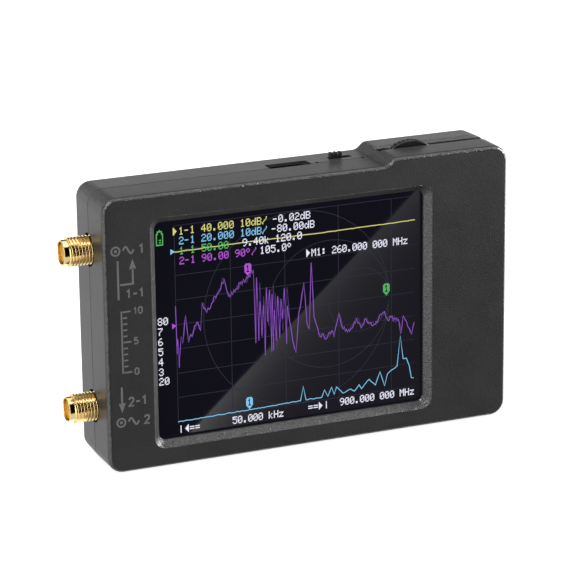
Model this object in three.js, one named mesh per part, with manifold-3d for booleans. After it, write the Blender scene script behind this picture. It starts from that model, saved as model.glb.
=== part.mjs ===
// Handheld two-port vector network analyzer: a two-shell plastic case around a touch screen,
// a circuit board, a flat battery, two threaded coaxial ports and the top-edge controls.
// Millimetres, +Z up. The case stands on its long bottom side and the screen faces -Y.
// Sizes in this file are measured from the case's front lower left corner:
// x to the right, y from the front face backwards, z up from the bottom.

import * as THREE from 'three';
import { mergeVertices } from 'three/addons/utils/BufferGeometryUtils.js';
import Module from 'manifold-3d';

const wasm = await Module();
wasm.setup();

// ---------------------------------------------------------------- driving dimensions

const CASE_W = 92;
const CASE_H = 59.4;
const RAISED_H = 61;
const CASE_D = 17.6;
const WALL = 1.6;
const FACE = 2;
const CORNER_R = 3.4;
const EDGE_R = 1.1;
const BACK_Y = CASE_D - WALL;

const PARTING_Y = 8.9;
const PARTING_GAP = 0.1;
const LIP_T = 0.7;
const LIP_H = 0.9;

const RAMP_FOOT_X = 62.9;
const RAMP_TOP_X = 66.3;

const WINDOW = { left: 11.75, right: 72.7, bottom: 5.55, top: 52.85, r: 1.5 };
const WINDOW_BEVEL = 1.4;
const WINDOW_BEVEL_DEPTH = 1.6;

const PORT_REACH = 5.95;
const PORT_Y = 9.3;
const PORT_ZS = [46.6, 12.5];
const PORT_HOLE_R = 3.5;
const PORT_THREAD_R = 3.1;
const PORT_COLLAR_R = 2.7;
const PORT_BORE_R = 2.3;
const PORT_BORE_DEPTH = 1.9;

const BOARD = { left: 3.2, right: 89.2, bottom: 2.4, top: 56.6, front: 8.5, back: 10.1 };
const SCREW_XS = [5.1, 86.9];
const SCREW_ZS = [5, 54];

const SCREEN = { left: 9.4, right: 78.6, bottom: 4.2, top: 54.2 };
const GASKET_Y = [2.05, 2.45];
const GLASS_Y = [2.5, 3.5];
const LCD_Y = [3.6, 4.9];
const TRAY_Y = [3.6, 6.4];

const USB = { x: 45.3, y: 10.4, w: 8.94, h: 3.16, mouth: 58.9, depth: 7.3, wall: 0.3 };

const KNOB_X = [55.4, 58];
const KNOB_Y = [10.95, 12.25];
const KNOB_TOP = 60.6;
const KNOB_TRAVEL = 2;

const LEVER = { x: 72.7, y: 8.8, z: 54.6, r: 7.6, t: 2, halfAngle: 0.66 };
const CHANNEL_Y = [7.25, 10.6];
const CHANNEL_LIP = 0.6;

const BATTERY = { x: [31, 77], y: [12.1, 15.5], z: [13, 47] };
const FIT = 0.1;

// ---------------------------------------------------------------- solid helpers

function toSolid(geometry) {
  geometry.deleteAttribute('normal');
  geometry.deleteAttribute('uv');
  const merged = mergeVertices(geometry, 1e-4);
  return new wasm.Manifold(new wasm.Mesh({
    numProp: 3,
    vertProperties: new Float32Array(merged.attributes.position.array),
    triVerts: new Uint32Array(merged.index.array),
  }));
}

function toGeometry(solid) {
  const mesh = solid.getMesh();
  const geometry = new THREE.BufferGeometry();
  geometry.setAttribute('position', new THREE.BufferAttribute(mesh.vertProperties, 3));
  geometry.setIndex(new THREE.BufferAttribute(mesh.triVerts, 1));
  return geometry;
}

function join(...solids) {
  return solids.reduce((whole, next) => whole.add(next));
}

function cut(solid, ...tools) {
  return tools.reduce((rest, tool) => rest.subtract(tool), solid);
}

function block(x, y, z) {
  const geometry = new THREE.BoxGeometry(x[1] - x[0], y[1] - y[0], z[1] - z[0]);
  geometry.translate((x[0] + x[1]) / 2, (y[0] + y[1]) / 2, (z[0] + z[1]) / 2);
  return toSolid(geometry);
}

// An x-z outline swept backwards from y[0] to y[1].
function prismY(shape, y, curveSegments = 6) {
  const geometry = new THREE.ExtrudeGeometry(shape, {
    depth: y[1] - y[0], bevelEnabled: false, curveSegments,
  });
  geometry.rotateX(Math.PI / 2);
  geometry.translate(0, y[1], 0);
  return toSolid(geometry);
}

// An x-y outline swept upwards from z[0] to z[1].
function prismZ(shape, z, curveSegments = 6) {
  const geometry = new THREE.ExtrudeGeometry(shape, {
    depth: z[1] - z[0], bevelEnabled: false, curveSegments,
  });
  geometry.translate(0, 0, z[0]);
  return toSolid(geometry);
}

function rodX(radius, x, y, z, sides = 24) {
  const geometry = new THREE.CylinderGeometry(radius, radius, x[1] - x[0], sides);
  geometry.rotateZ(Math.PI / 2);
  geometry.translate((x[0] + x[1]) / 2, y, z);
  return toSolid(geometry);
}

function rodY(radius, x, y, z, sides = 20) {
  const geometry = new THREE.CylinderGeometry(radius, radius, y[1] - y[0], sides);
  geometry.translate(x, (y[0] + y[1]) / 2, z);
  return toSolid(geometry);
}

// A piece turned about an axis along x; the profile lists [x, radius] from left to right.
function turnedX(profile, y, z, sides = 24) {
  const points = profile.map(([x, radius]) => new THREE.Vector2(radius, x));
  const geometry = new THREE.LatheGeometry(points, sides);
  geometry.rotateZ(-Math.PI / 2);
  geometry.translate(0, y, z);
  return toSolid(geometry);
}

// Joins two x-z outlines that have equally many points, the first at y[0], the second at y[1].
function frustumY(front, back, y) {
  const count = front.length;
  const position = [];
  front.forEach((point) => position.push(point.x, y[0], point.y));
  back.forEach((point) => position.push(point.x, y[1], point.y));
  const index = [];
  for (const [p, q, r] of THREE.ShapeUtils.triangulateShape(front, [])) {
    index.push(p, q, r);
  }
  for (const [p, q, r] of THREE.ShapeUtils.triangulateShape(back, [])) {
    index.push(count + p, count + r, count + q);
  }
  for (let i = 0; i < count; i += 1) {
    const next = (i + 1) % count;
    index.push(i, count + i, next, next, count + i, count + next);
  }
  const geometry = new THREE.BufferGeometry();
  geometry.setAttribute('position', new THREE.Float32BufferAttribute(position, 3));
  geometry.setIndex(index);
  return toSolid(geometry);
}

// The points of a rectangle with rounded corners, anticlockwise from the lower right corner.
function roundedCorners(x, y, radius) {
  const steps = 4;
  const centres = [
    [x[1] - radius, y[0] + radius], [x[1] - radius, y[1] - radius],
    [x[0] + radius, y[1] - radius], [x[0] + radius, y[0] + radius],
  ];
  return centres.flatMap(([cx, cy], corner) => {
    const arc = [];
    for (let i = 0; i <= steps; i += 1) {
      const angle = (Math.PI / 2) * (corner - 1 + i / steps);
      arc.push(new THREE.Vector2(cx + radius * Math.cos(angle), cy + radius * Math.sin(angle)));
    }
    return arc;
  });
}

function roundedRect(x, y, radius) {
  const shape = new THREE.Shape();
  shape.moveTo(x[0] + radius, y[0]);
  shape.lineTo(x[1] - radius, y[0]);
  shape.absarc(x[1] - radius, y[0] + radius, radius, -Math.PI / 2, 0, false);
  shape.lineTo(x[1], y[1] - radius);
  shape.absarc(x[1] - radius, y[1] - radius, radius, 0, Math.PI / 2, false);
  shape.lineTo(x[0] + radius, y[1]);
  shape.absarc(x[0] + radius, y[1] - radius, radius, Math.PI / 2, Math.PI, false);
  shape.lineTo(x[0], y[0] + radius);
  shape.absarc(x[0] + radius, y[0] + radius, radius, Math.PI, 1.5 * Math.PI, false);
  return shape;
}

// The case seen from the front: four round corners, and the ramp up to the raised part.
function caseOutline(inset) {
  const right = CASE_W - inset;
  const low = CASE_H - inset;
  const high = RAISED_H - inset;
  const r = CORNER_R - inset;
  const ease = (RAMP_TOP_X - RAMP_FOOT_X) / 2;
  const shape = new THREE.Shape();
  shape.moveTo(inset + r, inset);
  shape.lineTo(right - r, inset);
  shape.absarc(right - r, inset + r, r, -Math.PI / 2, 0, false);
  shape.lineTo(right, high - r);
  shape.absarc(right - r, high - r, r, 0, Math.PI / 2, false);
  shape.lineTo(RAMP_TOP_X, high);
  shape.bezierCurveTo(RAMP_TOP_X - ease, high, RAMP_FOOT_X + ease, low, RAMP_FOOT_X, low);
  shape.lineTo(inset + r, low);
  shape.absarc(inset + r, low - r, r, Math.PI / 2, Math.PI, false);
  shape.lineTo(inset, inset + r);
  shape.absarc(inset + r, inset + r, r, Math.PI, 1.5 * Math.PI, false);
  return shape;
}

// ---------------------------------------------------------------- case

// The whole case as one block with rounded front and rear edges, before it is split.
function caseBlock() {
  const geometry = new THREE.ExtrudeGeometry(caseOutline(0), {
    depth: CASE_D - 2 * EDGE_R,
    bevelEnabled: true,
    bevelThickness: EDGE_R,
    bevelSize: EDGE_R,
    bevelOffset: -EDGE_R,
    bevelSegments: 3,
    curveSegments: 6,
  });
  geometry.rotateX(Math.PI / 2);
  geometry.translate(0, CASE_D - EDGE_R, 0);
  return toSolid(geometry);
}

// Opening over the screen: a bevel all round, then a short straight lip.
function windowOpening() {
  const { left, right, bottom, top, r } = WINDOW;
  const spare = 0.5;
  const grow = (WINDOW_BEVEL * (WINDOW_BEVEL_DEPTH + spare)) / WINDOW_BEVEL_DEPTH;
  const lip = roundedCorners([left, right], [bottom, top], r);
  const rim = roundedCorners([left - grow, right + grow], [bottom - grow, top + grow], r + grow / 2);
  const bevel = frustumY(rim, lip, [-spare, WINDOW_BEVEL_DEPTH]);
  return join(bevel, prismY(new THREE.Shape(lip), [0, FACE + 1]));
}

// Everything that opens through the case's outer walls, for both shells.
function wallOpenings() {
  const tools = PORT_ZS.map((z) => rodX(PORT_HOLE_R, [-1, WALL + 1], PORT_Y, z));
  const usb = roundedRect([USB.x - 4.75, USB.x + 4.75], [8.6, 12.15], 0.4);
  tools.push(prismZ(usb, [CASE_H - WALL - 1, CASE_H + 1], 3));
  const knobSlot = roundedRect(
    [KNOB_X[0] - 0.3, KNOB_X[1] + KNOB_TRAVEL + 0.3], [KNOB_Y[0] - 0.25, KNOB_Y[1] + 0.25], 0.2,
  );
  tools.push(prismZ(knobSlot, [CASE_H - WALL - 1, CASE_H + 1], 2));
  tools.push(block([51.1, 51.9], [PARTING_Y - 0.1, PARTING_Y + 0.7], [CASE_H - 3, CASE_H + 1]));
  tools.push(block([61.5, 62.3], [PARTING_Y - 0.5, PARTING_Y + 0.4], [CASE_H - 3, CASE_H + 1]));
  tools.push(block([63.2, 63.8], [PARTING_Y, PARTING_Y + 0.7], [CASE_H - 3, CASE_H + 1]));
  return join(...tools);
}

// The lever's channel: open upwards, and out over the top right corner.
function leverChannel() {
  const slot = block([66.6, 90.2], CHANNEL_Y, [55, RAISED_H + 1]);
  const mouth = block([64.4, CASE_W + 1], CHANNEL_Y, [CASE_H - 0.5, RAISED_H + 1]);
  const bevel = new THREE.Shape();
  bevel.moveTo(CHANNEL_Y[1] - 1, RAISED_H + 1);
  bevel.lineTo(CHANNEL_Y[1] - 1, RAISED_H - CHANNEL_LIP);
  bevel.lineTo(CHANNEL_Y[1], RAISED_H - CHANNEL_LIP);
  bevel.lineTo(CHANNEL_Y[1] + 0.9, RAISED_H);
  bevel.lineTo(CHANNEL_Y[1] + 0.9, RAISED_H + 1);
  const geometry = new THREE.ExtrudeGeometry(bevel, { depth: CASE_W - 64, bevelEnabled: false });
  geometry.rotateX(Math.PI / 2);
  geometry.rotateZ(Math.PI / 2);
  geometry.translate(64, 0, 0);
  return join(slot, mouth, toSolid(geometry));
}

// A ring standing in the parting plane, for the lip of one shell or the rebate of the other.
function partingRing(outerInset, innerInset, y) {
  return prismY(caseOutline(outerInset), y).subtract(
    prismY(caseOutline(innerInset), [y[0] - 1, y[1] + 1]),
  );
}

function atScrews(make) {
  return SCREW_XS.flatMap((x) => SCREW_ZS.map((z) => make(x, z)));
}

function frontShell() {
  const half = block([-1, CASE_W + 1], [-1, PARTING_Y - PARTING_GAP / 2], [-1, RAISED_H + 1]);
  const inside = prismY(caseOutline(WALL), [FACE, PARTING_Y + 1]);
  const rebate = partingRing(WALL - LIP_T - FIT, WALL + 0.1, [PARTING_Y - LIP_H - FIT, PARTING_Y + 1]);
  const bosses = atScrews((x, z) => rodY(2.5, x, [FACE - 0.5, BOARD.front - FIT], z));
  const pilots = atScrews((x, z) => rodY(1.05, x, [FACE + 1, PARTING_Y], z, 12));
  const walls = cut(caseBlock().intersect(half), inside, rebate);
  return cut(join(walls, ...bosses), ...pilots, windowOpening(), wallOpenings(), leverChannel());
}

function rearShell() {
  const half = block([-1, CASE_W + 1], [PARTING_Y + PARTING_GAP / 2, CASE_D + 1], [-1, RAISED_H + 1]);
  const inside = prismY(caseOutline(WALL), [PARTING_Y - 1, BACK_Y]);
  const lip = partingRing(WALL - LIP_T, WALL, [PARTING_Y - LIP_H, PARTING_Y + 1]);
  const bosses = atScrews((x, z) => rodY(2.9, x, [BOARD.back + FIT, CASE_D - EDGE_R], z));
  const holes = atScrews((x, z) => rodY(1.15, x, [BOARD.back - 1, CASE_D], z, 12));
  const heads = atScrews((x, z) => rodY(2.1, x, [CASE_D - 2, CASE_D + 1], z));
  const walls = join(cut(caseBlock().intersect(half), inside), lip);
  const undercut = block([66.6, 90.2], [PARTING_Y, CHANNEL_Y[1] + 2.4], [56, RAISED_H - 1.2]);
  return cut(
    join(walls, ...bosses), ...holes, ...heads, wallOpenings(), leverChannel(), undercut,
  );
}

// Cross-head screw: a domed round head at the back and a plain shank forwards.
function caseScrew(x, z) {
  const head = rodY(1.9, x, [CASE_D - 1.95, CASE_D - 0.6], z);
  const shank = rodY(0.95, x, [5.4, CASE_D - 1.5], z, 12);
  const recess = [
    block([x - 1, x + 1], [CASE_D - 1.3, CASE_D], [z - 0.2, z + 0.2]),
    block([x - 0.2, x + 0.2], [CASE_D - 1.3, CASE_D], [z - 1, z + 1]),
  ];
  return cut(join(head, shank), ...recess);
}

// ---------------------------------------------------------------- screen

function screenGasket() {
  const { left, right, bottom, top, r } = WINDOW;
  const outer = prismY(roundedRect([left - 2, right + 2], [4.3, top + 1.3], 2), GASKET_Y, 2);
  const open = [[left - 0.4, right + 0.4], [bottom - 0.4, top + 0.4]];
  return outer.subtract(prismY(roundedRect(...open, r), [0, 5], 2));
}

function backlightTray() {
  const x = [SCREEN.left, SCREEN.right];
  const z = [SCREEN.bottom, SCREEN.top];
  const rim = 0.8;
  const outer = prismY(roundedRect(x, z, 0.6), TRAY_Y, 2);
  const pocket = block(
    [x[0] + rim, x[1] - rim], [TRAY_Y[0] - 1, LCD_Y[1] + FIT], [z[0] + rim, z[1] - rim],
  );
  return outer.subtract(pocket);
}

function lcdPanel() {
  const inset = 0.9;
  return block(
    [SCREEN.left + inset, SCREEN.right - inset], LCD_Y,
    [SCREEN.bottom + inset, SCREEN.top - inset],
  );
}

function touchPanel() {
  return prismY(
    roundedRect([SCREEN.left, SCREEN.right], [SCREEN.bottom, SCREEN.top], 0.6), GLASS_Y, 2,
  );
}

// Flat flexible lead from the back of the screen to its connector, as one S-shaped strip.
function screenRibbon() {
  const [x0, x1] = [SCREEN.right + FIT, 82.6];
  const [y0, y1] = [5.6, 7.8];
  const thick = 0.25;
  const steps = 10;
  const front = [];
  for (let i = 0; i <= steps; i += 1) {
    const part = i / steps;
    const y = y0 + ((y1 - y0) * (1 - Math.cos(Math.PI * part))) / 2;
    front.push(new THREE.Vector2(x0 + (x1 - x0) * part, y));
  }
  const back = front.map((point) => new THREE.Vector2(point.x, point.y + thick)).reverse();
  return prismZ(new THREE.Shape([...front, ...back]), [20, 38]);
}

function ribbonConnector() {
  const body = block([82.8, 86.4], [7, BOARD.front - 0.05], [19, 39]);
  return body.subtract(block([82, 83.6], [7.5, 8.25], [19.8, 38.2]));
}

// ---------------------------------------------------------------- circuit board

function mainBoard() {
  const { left, right, bottom, top, front, back } = BOARD;
  const y = [front, back];
  const through = [front - 1, back + 1];
  const sheet = prismY(roundedRect([left, right], [bottom, top], 1), y, 3);
  const screwHoles = atScrews((x, z) => rodY(1.15, x, through, z, 12));
  const usbNotch = block([USB.x - 4.7, USB.x + 4.7], through, [51.2, top + 1]);
  const leverNotch = block([67.6, 77.8], through, [50, top + 1]);
  return cut(sheet, ...screwHoles, usbNotch, leverNotch);
}

// A chip on the board's back: x and z are its lower left corner.
function chip(x, z, w, h, t) {
  return block([x, x + w], [BOARD.back + 0.05, BOARD.back + 0.05 + t], [z, z + h]);
}

// Five-sided screening can over the radio circuits, open towards the board.
function rfShield() {
  const x = [9.5, 28.5];
  const z = [8, 51];
  const skin = 0.25;
  const outer = block(x, [BOARD.back + 0.05, 12], z);
  const inner = block(
    [x[0] + skin, x[1] - skin], [BOARD.back - 1, 12 - skin], [z[0] + skin, z[1] - skin],
  );
  return outer.subtract(inner);
}

function statusLed(x) {
  const body = block([x - 0.8, x + 0.8], [7.65, BOARD.front - 0.05], [55.6, 56.4]);
  return body.add(block([x - 0.5, x + 0.5], [7.75, BOARD.front - 0.15], [56.3, 56.9]));
}

// ---------------------------------------------------------------- battery

function batteryCell() {
  const shape = roundedRect(BATTERY.y, BATTERY.z, 0.8);
  const geometry = new THREE.ExtrudeGeometry(shape, {
    depth: BATTERY.x[1] - BATTERY.x[0], bevelEnabled: false, curveSegments: 3,
  });
  geometry.rotateX(Math.PI / 2);
  geometry.rotateZ(Math.PI / 2);
  geometry.translate(BATTERY.x[0], 0, 0);
  return toSolid(geometry);
}

function batterySocket() {
  const body = block([80, 86.2], [BOARD.back + 0.05, 13.4], [45, 49.4]);
  return body.subtract(block([80.6, 85.6], [10.7, 12.9], [44, 48.4]));
}

function batteryPlug() {
  return block([80.8, 85.4], [10.9, 12.7], [42.6, 48.2]);
}

// One insulated lead from the battery's right end up to the plug.
function batteryLead(offset) {
  const path = new THREE.CatmullRomCurve3([
    new THREE.Vector3(BATTERY.x[1] + 0.2, 13.8, 28 - offset),
    new THREE.Vector3(78.6, 13.8, 28.3 - offset),
    new THREE.Vector3(81 + offset * 0.9, 13.2, 31.5 - offset),
    new THREE.Vector3(82.2 + offset, 12.1, 37),
    new THREE.Vector3(82.2 + offset, 11.8, 42.4),
  ]);
  const section = new THREE.Shape();
  section.absarc(0, 0, 0.45, 0, 2 * Math.PI, false);
  const geometry = new THREE.ExtrudeGeometry(section, {
    steps: 18, extrudePath: path, curveSegments: 8,
  });
  return toSolid(geometry);
}

// ---------------------------------------------------------------- coaxial ports

// Threaded barrel with a square flange behind the case wall and four legs astride the board.
function portBody(z) {
  const collar = 1.1;
  const flange = [1.85, 3.1];
  const barrel = turnedX([
    [-PORT_REACH, 0],
    [-PORT_REACH, PORT_COLLAR_R - 0.15],
    [-PORT_REACH + 0.15, PORT_COLLAR_R],
    [-PORT_REACH + collar, PORT_COLLAR_R],
    [-PORT_REACH + collar + 0.3, PORT_THREAD_R],
    [flange[0] + 0.2, PORT_THREAD_R],
    [flange[0] + 0.2, 0],
  ], PORT_Y, z);
  const plate = block(flange, [PORT_Y - 3.15, PORT_Y + 3.15], [z - 3.15, z + 3.15]);
  const legs = [-3.1, 1.9].flatMap((dz) => [BOARD.front - 1.2, BOARD.back + 0.1].map(
    (y) => block([flange[1] - 0.2, 6.6], [y, y + 1.1], [z + dz, z + dz + 1.2]),
  ));
  const bore = rodX(PORT_BORE_R, [-PORT_REACH - 1, -PORT_REACH + PORT_BORE_DEPTH], PORT_Y, z);
  const core = rodX(2.1, [-PORT_REACH, flange[1] + 1], PORT_Y, z);
  return cut(join(barrel, plate, ...legs), bore, core);
}

function portInsulator(z) {
  const x = [-PORT_REACH + PORT_BORE_DEPTH, 3];
  return turnedX([[x[0], 0.75], [x[0], 2], [x[1], 2], [x[1], 0.75], [x[0], 0.75]], PORT_Y, z, 20);
}

// Socket contact: a tube that takes the mating pin, running back to a solder tail.
function portContact(z) {
  const mouth = -PORT_REACH + PORT_BORE_DEPTH;
  return turnedX([
    [mouth + 2.5, 0], [mouth, 0.47], [mouth, 0.64], [3.15, 0.64], [3.15, 0],
  ], PORT_Y, z, 16);
}

// ---------------------------------------------------------------- USB socket

function usbShell() {
  const { x, y, w, h, mouth, depth, wall } = USB;
  const outline = (inset) => roundedRect(
    [x - w / 2 + inset, x + w / 2 - inset], [y - h / 2 + inset, y + h / 2 - inset], h / 2 - 0.1 - inset,
  );
  return prismZ(outline(0), [mouth - depth, mouth], 4).subtract(
    prismZ(outline(wall), [mouth - depth - 1, mouth + 1], 4),
  );
}

// Moulded tongue with its base block, which closes the shell's inner end.
function usbTongue() {
  const { x, y, mouth, depth } = USB;
  const base = roundedRect([x - 4.05, x + 4.05], [y - 1.15, y + 1.15], 1.05);
  const tongue = block([x - 3.35, x + 3.35], [y - 0.35, y + 0.35], [mouth - 6, mouth - 0.6]);
  return prismZ(base, [mouth - depth + 0.1, mouth - depth + 1.6], 4).add(tongue);
}

// ---------------------------------------------------------------- slide switch

function switchBody() {
  const body = block([52.8, 62.6], [BOARD.back + 0.05, 13], [52.2, 55.7]);
  return body.subtract(block([54, 61.4], [10.75, 12.45], [53.9, 56]));
}

function switchKnob() {
  const foot = block([KNOB_X[0] - 0.5, KNOB_X[1] + 0.5], KNOB_Y, [54, 55.5]);
  const stem = block(KNOB_X, KNOB_Y, [55.4, KNOB_TOP - 0.35]);
  const pitch = (KNOB_X[1] - KNOB_X[0]) / 5;
  const ribs = [0, 2, 4].map((step) => block(
    [KNOB_X[0] + step * pitch, KNOB_X[0] + (step + 1) * pitch], KNOB_Y, [KNOB_TOP - 0.5, KNOB_TOP],
  ));
  return join(foot, stem, ...ribs);
}

// ---------------------------------------------------------------- jog lever

function leverSwitchBody() {
  const body = block([67.9, 77.5], [6.7, 10.9], [50.3, 56]);
  const well = block([68.7, 76.7], [7.25, 10.35], [51.4, 57]);
  return body.subtract(well);
}

// Sliding carrier: a fork whose pin holds the lever and which is pushed down with it.
function leverCarrier() {
  const { x, y, z, t } = LEVER;
  const gap = t / 2 + 0.15;
  const outer = block([x - 2, x + 2], [y - 1.45, y + 1.45], [52.2, z + 1.1]);
  const slot = block([x - 3, x + 3], [y - gap, y + gap], [52.8, z + 2]);
  const pin = rodY(0.5, x, [y - 1.3, y + 1.3], z, 16);
  return outer.subtract(slot).add(pin);
}

// Fan-shaped thumb lever with a ribbed rim, pivoting on the carrier's pin.
function jogLever() {
  const { x, y, z, r, t, halfAngle } = LEVER;
  const hub = 1.3;
  const teeth = 10;
  const toothDepth = 0.28;
  const fan = new THREE.Shape();
  fan.moveTo(x + hub * Math.cos(halfAngle), z - hub * Math.sin(halfAngle));
  for (let i = 0; i <= teeth * 4; i += 1) {
    const angle = halfAngle - (2 * halfAngle * i) / (teeth * 4);
    const rim = r - (i % 4 === 2 ? toothDepth : 0);
    fan.lineTo(x + rim * Math.sin(angle), z + rim * Math.cos(angle));
  }
  fan.lineTo(x - hub * Math.cos(halfAngle), z - hub * Math.sin(halfAngle));
  const span = [y - t / 2, y + t / 2];
  const blade = prismY(fan, span).add(rodY(hub, x, span, z, 20));
  return blade.subtract(rodY(0.62, x, [span[0] - 1, span[1] + 1], z, 20));
}

// ---------------------------------------------------------------- assembly

const finish = {
  casePlastic: { color: 0x363636, roughness: 0.62, metalness: 0 },
  blackPlastic: { color: 0x161616, roughness: 0.5, metalness: 0 },
  glass: { color: 0x0b0d12, roughness: 0.06, metalness: 0 },
  lcd: { color: 0x10131c, roughness: 0.3, metalness: 0 },
  foam: { color: 0x1b1b1b, roughness: 0.95, metalness: 0 },
  whitePlastic: { color: 0xe6e4dc, roughness: 0.5, metalness: 0 },
  ribbonFilm: { color: 0xb5782a, roughness: 0.4, metalness: 0 },
  board: { color: 0x14301f, roughness: 0.45, metalness: 0 },
  chip: { color: 0x1c1c1e, roughness: 0.55, metalness: 0 },
  steel: { color: 0xb9bbbd, roughness: 0.35, metalness: 1 },
  gold: { color: 0xd9a441, roughness: 0.25, metalness: 1 },
  ptfe: { color: 0xece9e0, roughness: 0.5, metalness: 0 },
  foil: { color: 0xaeb2b5, roughness: 0.4, metalness: 0.6 },
  redWire: { color: 0xb02018, roughness: 0.5, metalness: 0 },
  blackWire: { color: 0x151515, roughness: 0.5, metalness: 0 },
  led: { color: 0xf1efe0, roughness: 0.3, metalness: 0 },
};

const instrument = new THREE.Group();
instrument.position.set(-(CASE_W - PORT_REACH) / 2, -CASE_D / 2, 0);

function addPiece(name, solid, look) {
  const mesh = new THREE.Mesh(toGeometry(solid), new THREE.MeshStandardMaterial(look));
  mesh.name = name;
  instrument.add(mesh);
}

addPiece('front_shell', frontShell(), finish.casePlastic);
addPiece('rear_shell', rearShell(), finish.casePlastic);
atScrews((x, z) => [x, z]).forEach(([x, z], i) => {
  addPiece(`case_screw_${i + 1}`, caseScrew(x, z), finish.steel);
});

addPiece('screen_gasket', screenGasket(), finish.foam);
addPiece('touch_panel', touchPanel(), finish.glass);
addPiece('lcd_panel', lcdPanel(), finish.lcd);
addPiece('backlight_tray', backlightTray(), finish.whitePlastic);
addPiece('screen_ribbon', screenRibbon(), finish.ribbonFilm);
addPiece('ribbon_connector', ribbonConnector(), finish.whitePlastic);

addPiece('main_board', mainBoard(), finish.board);
addPiece('microcontroller', chip(60, 22, 7, 7, 1.4), finish.chip);
addPiece('clock_generator', chip(33, 30, 3, 3, 1), finish.chip);
addPiece('audio_codec', chip(46, 26, 4, 4, 0.9), finish.chip);
addPiece('reference_crystal', chip(33, 38, 3.2, 2.5, 0.8), finish.steel);
addPiece('port_1_mixer', chip(13, 40, 5, 4, 1.4), finish.chip);
addPiece('reference_mixer', chip(13, 28, 5, 4, 1.4), finish.chip);
addPiece('port_2_mixer', chip(13, 16, 5, 4, 1.4), finish.chip);
addPiece('rf_shield', rfShield(), finish.steel);
addPiece('charger_chip', chip(80, 20, 5, 4, 1.5), finish.chip);
addPiece('power_inductor', chip(80, 12, 4, 4, 1.8), finish.chip);
addPiece('charge_led', statusLed(61.9), finish.led);
addPiece('power_led', statusLed(63.8), finish.led);

addPiece('battery_cell', batteryCell(), finish.foil);
addPiece('battery_pad', block([34, 74], [15.6, 15.9], [17, 43]), finish.foam);
addPiece('battery_socket', batterySocket(), finish.whitePlastic);
addPiece('battery_plug', batteryPlug(), finish.whitePlastic);
addPiece('battery_lead_red', batteryLead(0), finish.redWire);
addPiece('battery_lead_black', batteryLead(1.5), finish.blackWire);

PORT_ZS.forEach((z, i) => {
  addPiece(`port_${i + 1}_body`, portBody(z), finish.gold);
  addPiece(`port_${i + 1}_insulator`, portInsulator(z), finish.ptfe);
  addPiece(`port_${i + 1}_contact`, portContact(z), finish.gold);
});

addPiece('usb_socket_shell', usbShell(), finish.steel);
addPiece('usb_socket_tongue', usbTongue(), finish.blackPlastic);
addPiece('power_switch_body', switchBody(), finish.steel);
addPiece('power_switch_knob', switchKnob(), finish.blackPlastic);
addPiece('lever_switch_body', leverSwitchBody(), finish.blackPlastic);
addPiece('lever_carrier', leverCarrier(), finish.whitePlastic);
addPiece('jog_lever', jogLever(), finish.blackPlastic);

const group = new THREE.Group();
group.add(instrument);

export default group;
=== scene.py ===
import math
import random

import bmesh
import bpy
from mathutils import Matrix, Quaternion, Vector


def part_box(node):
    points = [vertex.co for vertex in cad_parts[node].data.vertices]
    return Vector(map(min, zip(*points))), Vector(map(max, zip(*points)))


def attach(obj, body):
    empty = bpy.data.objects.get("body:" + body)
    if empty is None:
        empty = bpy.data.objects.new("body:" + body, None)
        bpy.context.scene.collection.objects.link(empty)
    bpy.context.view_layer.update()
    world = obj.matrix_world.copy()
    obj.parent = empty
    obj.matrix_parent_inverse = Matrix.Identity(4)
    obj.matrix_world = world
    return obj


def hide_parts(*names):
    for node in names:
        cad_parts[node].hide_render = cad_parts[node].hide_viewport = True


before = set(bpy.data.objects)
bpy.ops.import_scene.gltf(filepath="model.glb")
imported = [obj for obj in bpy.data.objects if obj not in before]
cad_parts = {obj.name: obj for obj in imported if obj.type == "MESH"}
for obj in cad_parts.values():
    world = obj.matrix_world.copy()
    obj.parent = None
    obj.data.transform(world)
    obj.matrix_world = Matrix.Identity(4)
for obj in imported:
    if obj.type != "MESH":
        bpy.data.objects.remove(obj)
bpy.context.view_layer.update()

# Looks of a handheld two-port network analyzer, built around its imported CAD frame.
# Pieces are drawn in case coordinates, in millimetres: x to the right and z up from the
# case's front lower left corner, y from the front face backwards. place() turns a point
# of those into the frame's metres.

MM = 0.001
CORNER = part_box("front_shell")[0]

# --- dimensions of the part

CASE_W = 92.0
CASE_H = 59.4
RAISED_H = 61.0
CASE_D = 17.6
WALL = 1.6
FACE = 2.0
CORNER_R = 3.4
EDGE_R = 1.1
FRONT_DRAFT = 0.05
REAR_DRAFT = 0.26
PARTING_FRONT = 8.85
PARTING_BACK = 8.95
PARTING_EDGE = 0.13
LIP_START = 8.0
RAMP_FOOT_X = 62.9
RAMP_TOP_X = 66.3

WINDOW_X = (11.75, 72.7)
WINDOW_Z = (5.55, 52.85)
WINDOW_R = 1.5
WINDOW_BEVEL = 1.4
WINDOW_BEVEL_DEPTH = 1.6

SCREW_XS = (5.1, 86.9)
SCREW_ZS = (5.0, 54.0)
SCREW_TIP = 5.4
SCREW_SINK = 0.6
SCREW_SHANK_R = 0.95
SCREW_HEAD_R = 1.9
SCREW_RECESS_R = 2.1
PILOT_R = 1.05
CLEARANCE_R = 1.15
FRONT_PILLAR_R = 2.5
REAR_PILLAR_R = 2.9
BOARD_FRONT = 8.5
BOARD_BACK = 10.1

PORT_HOLE_R = 3.5
PORT_THREAD_R = 3.1
PORT_ROOT_R = 2.78
PORT_COLLAR_R = 2.7
PORT_BORE_R = 2.3
PORT_CORE_R = 2.1
PORT_COLLAR = 1.1
PORT_BORE_DEPTH = 1.9
THREAD_PITCH = 0.7056
FLANGE_X = (1.85, 3.1)
FLANGE_HALF = 3.15
LEG_END = 6.6
LEG_SIDE = 1.2
LEG_THICKNESS = 1.1
LEG_OFFSETS = (-3.1, 1.9)
INSULATOR_R = 2.0
INSULATOR_BORE_R = 0.75
INSULATOR_END = 3.0
CONTACT_R = 0.64
CONTACT_BORE_R = 0.46
CONTACT_END = 3.15
CONTACT_SLIT = 0.07

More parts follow.
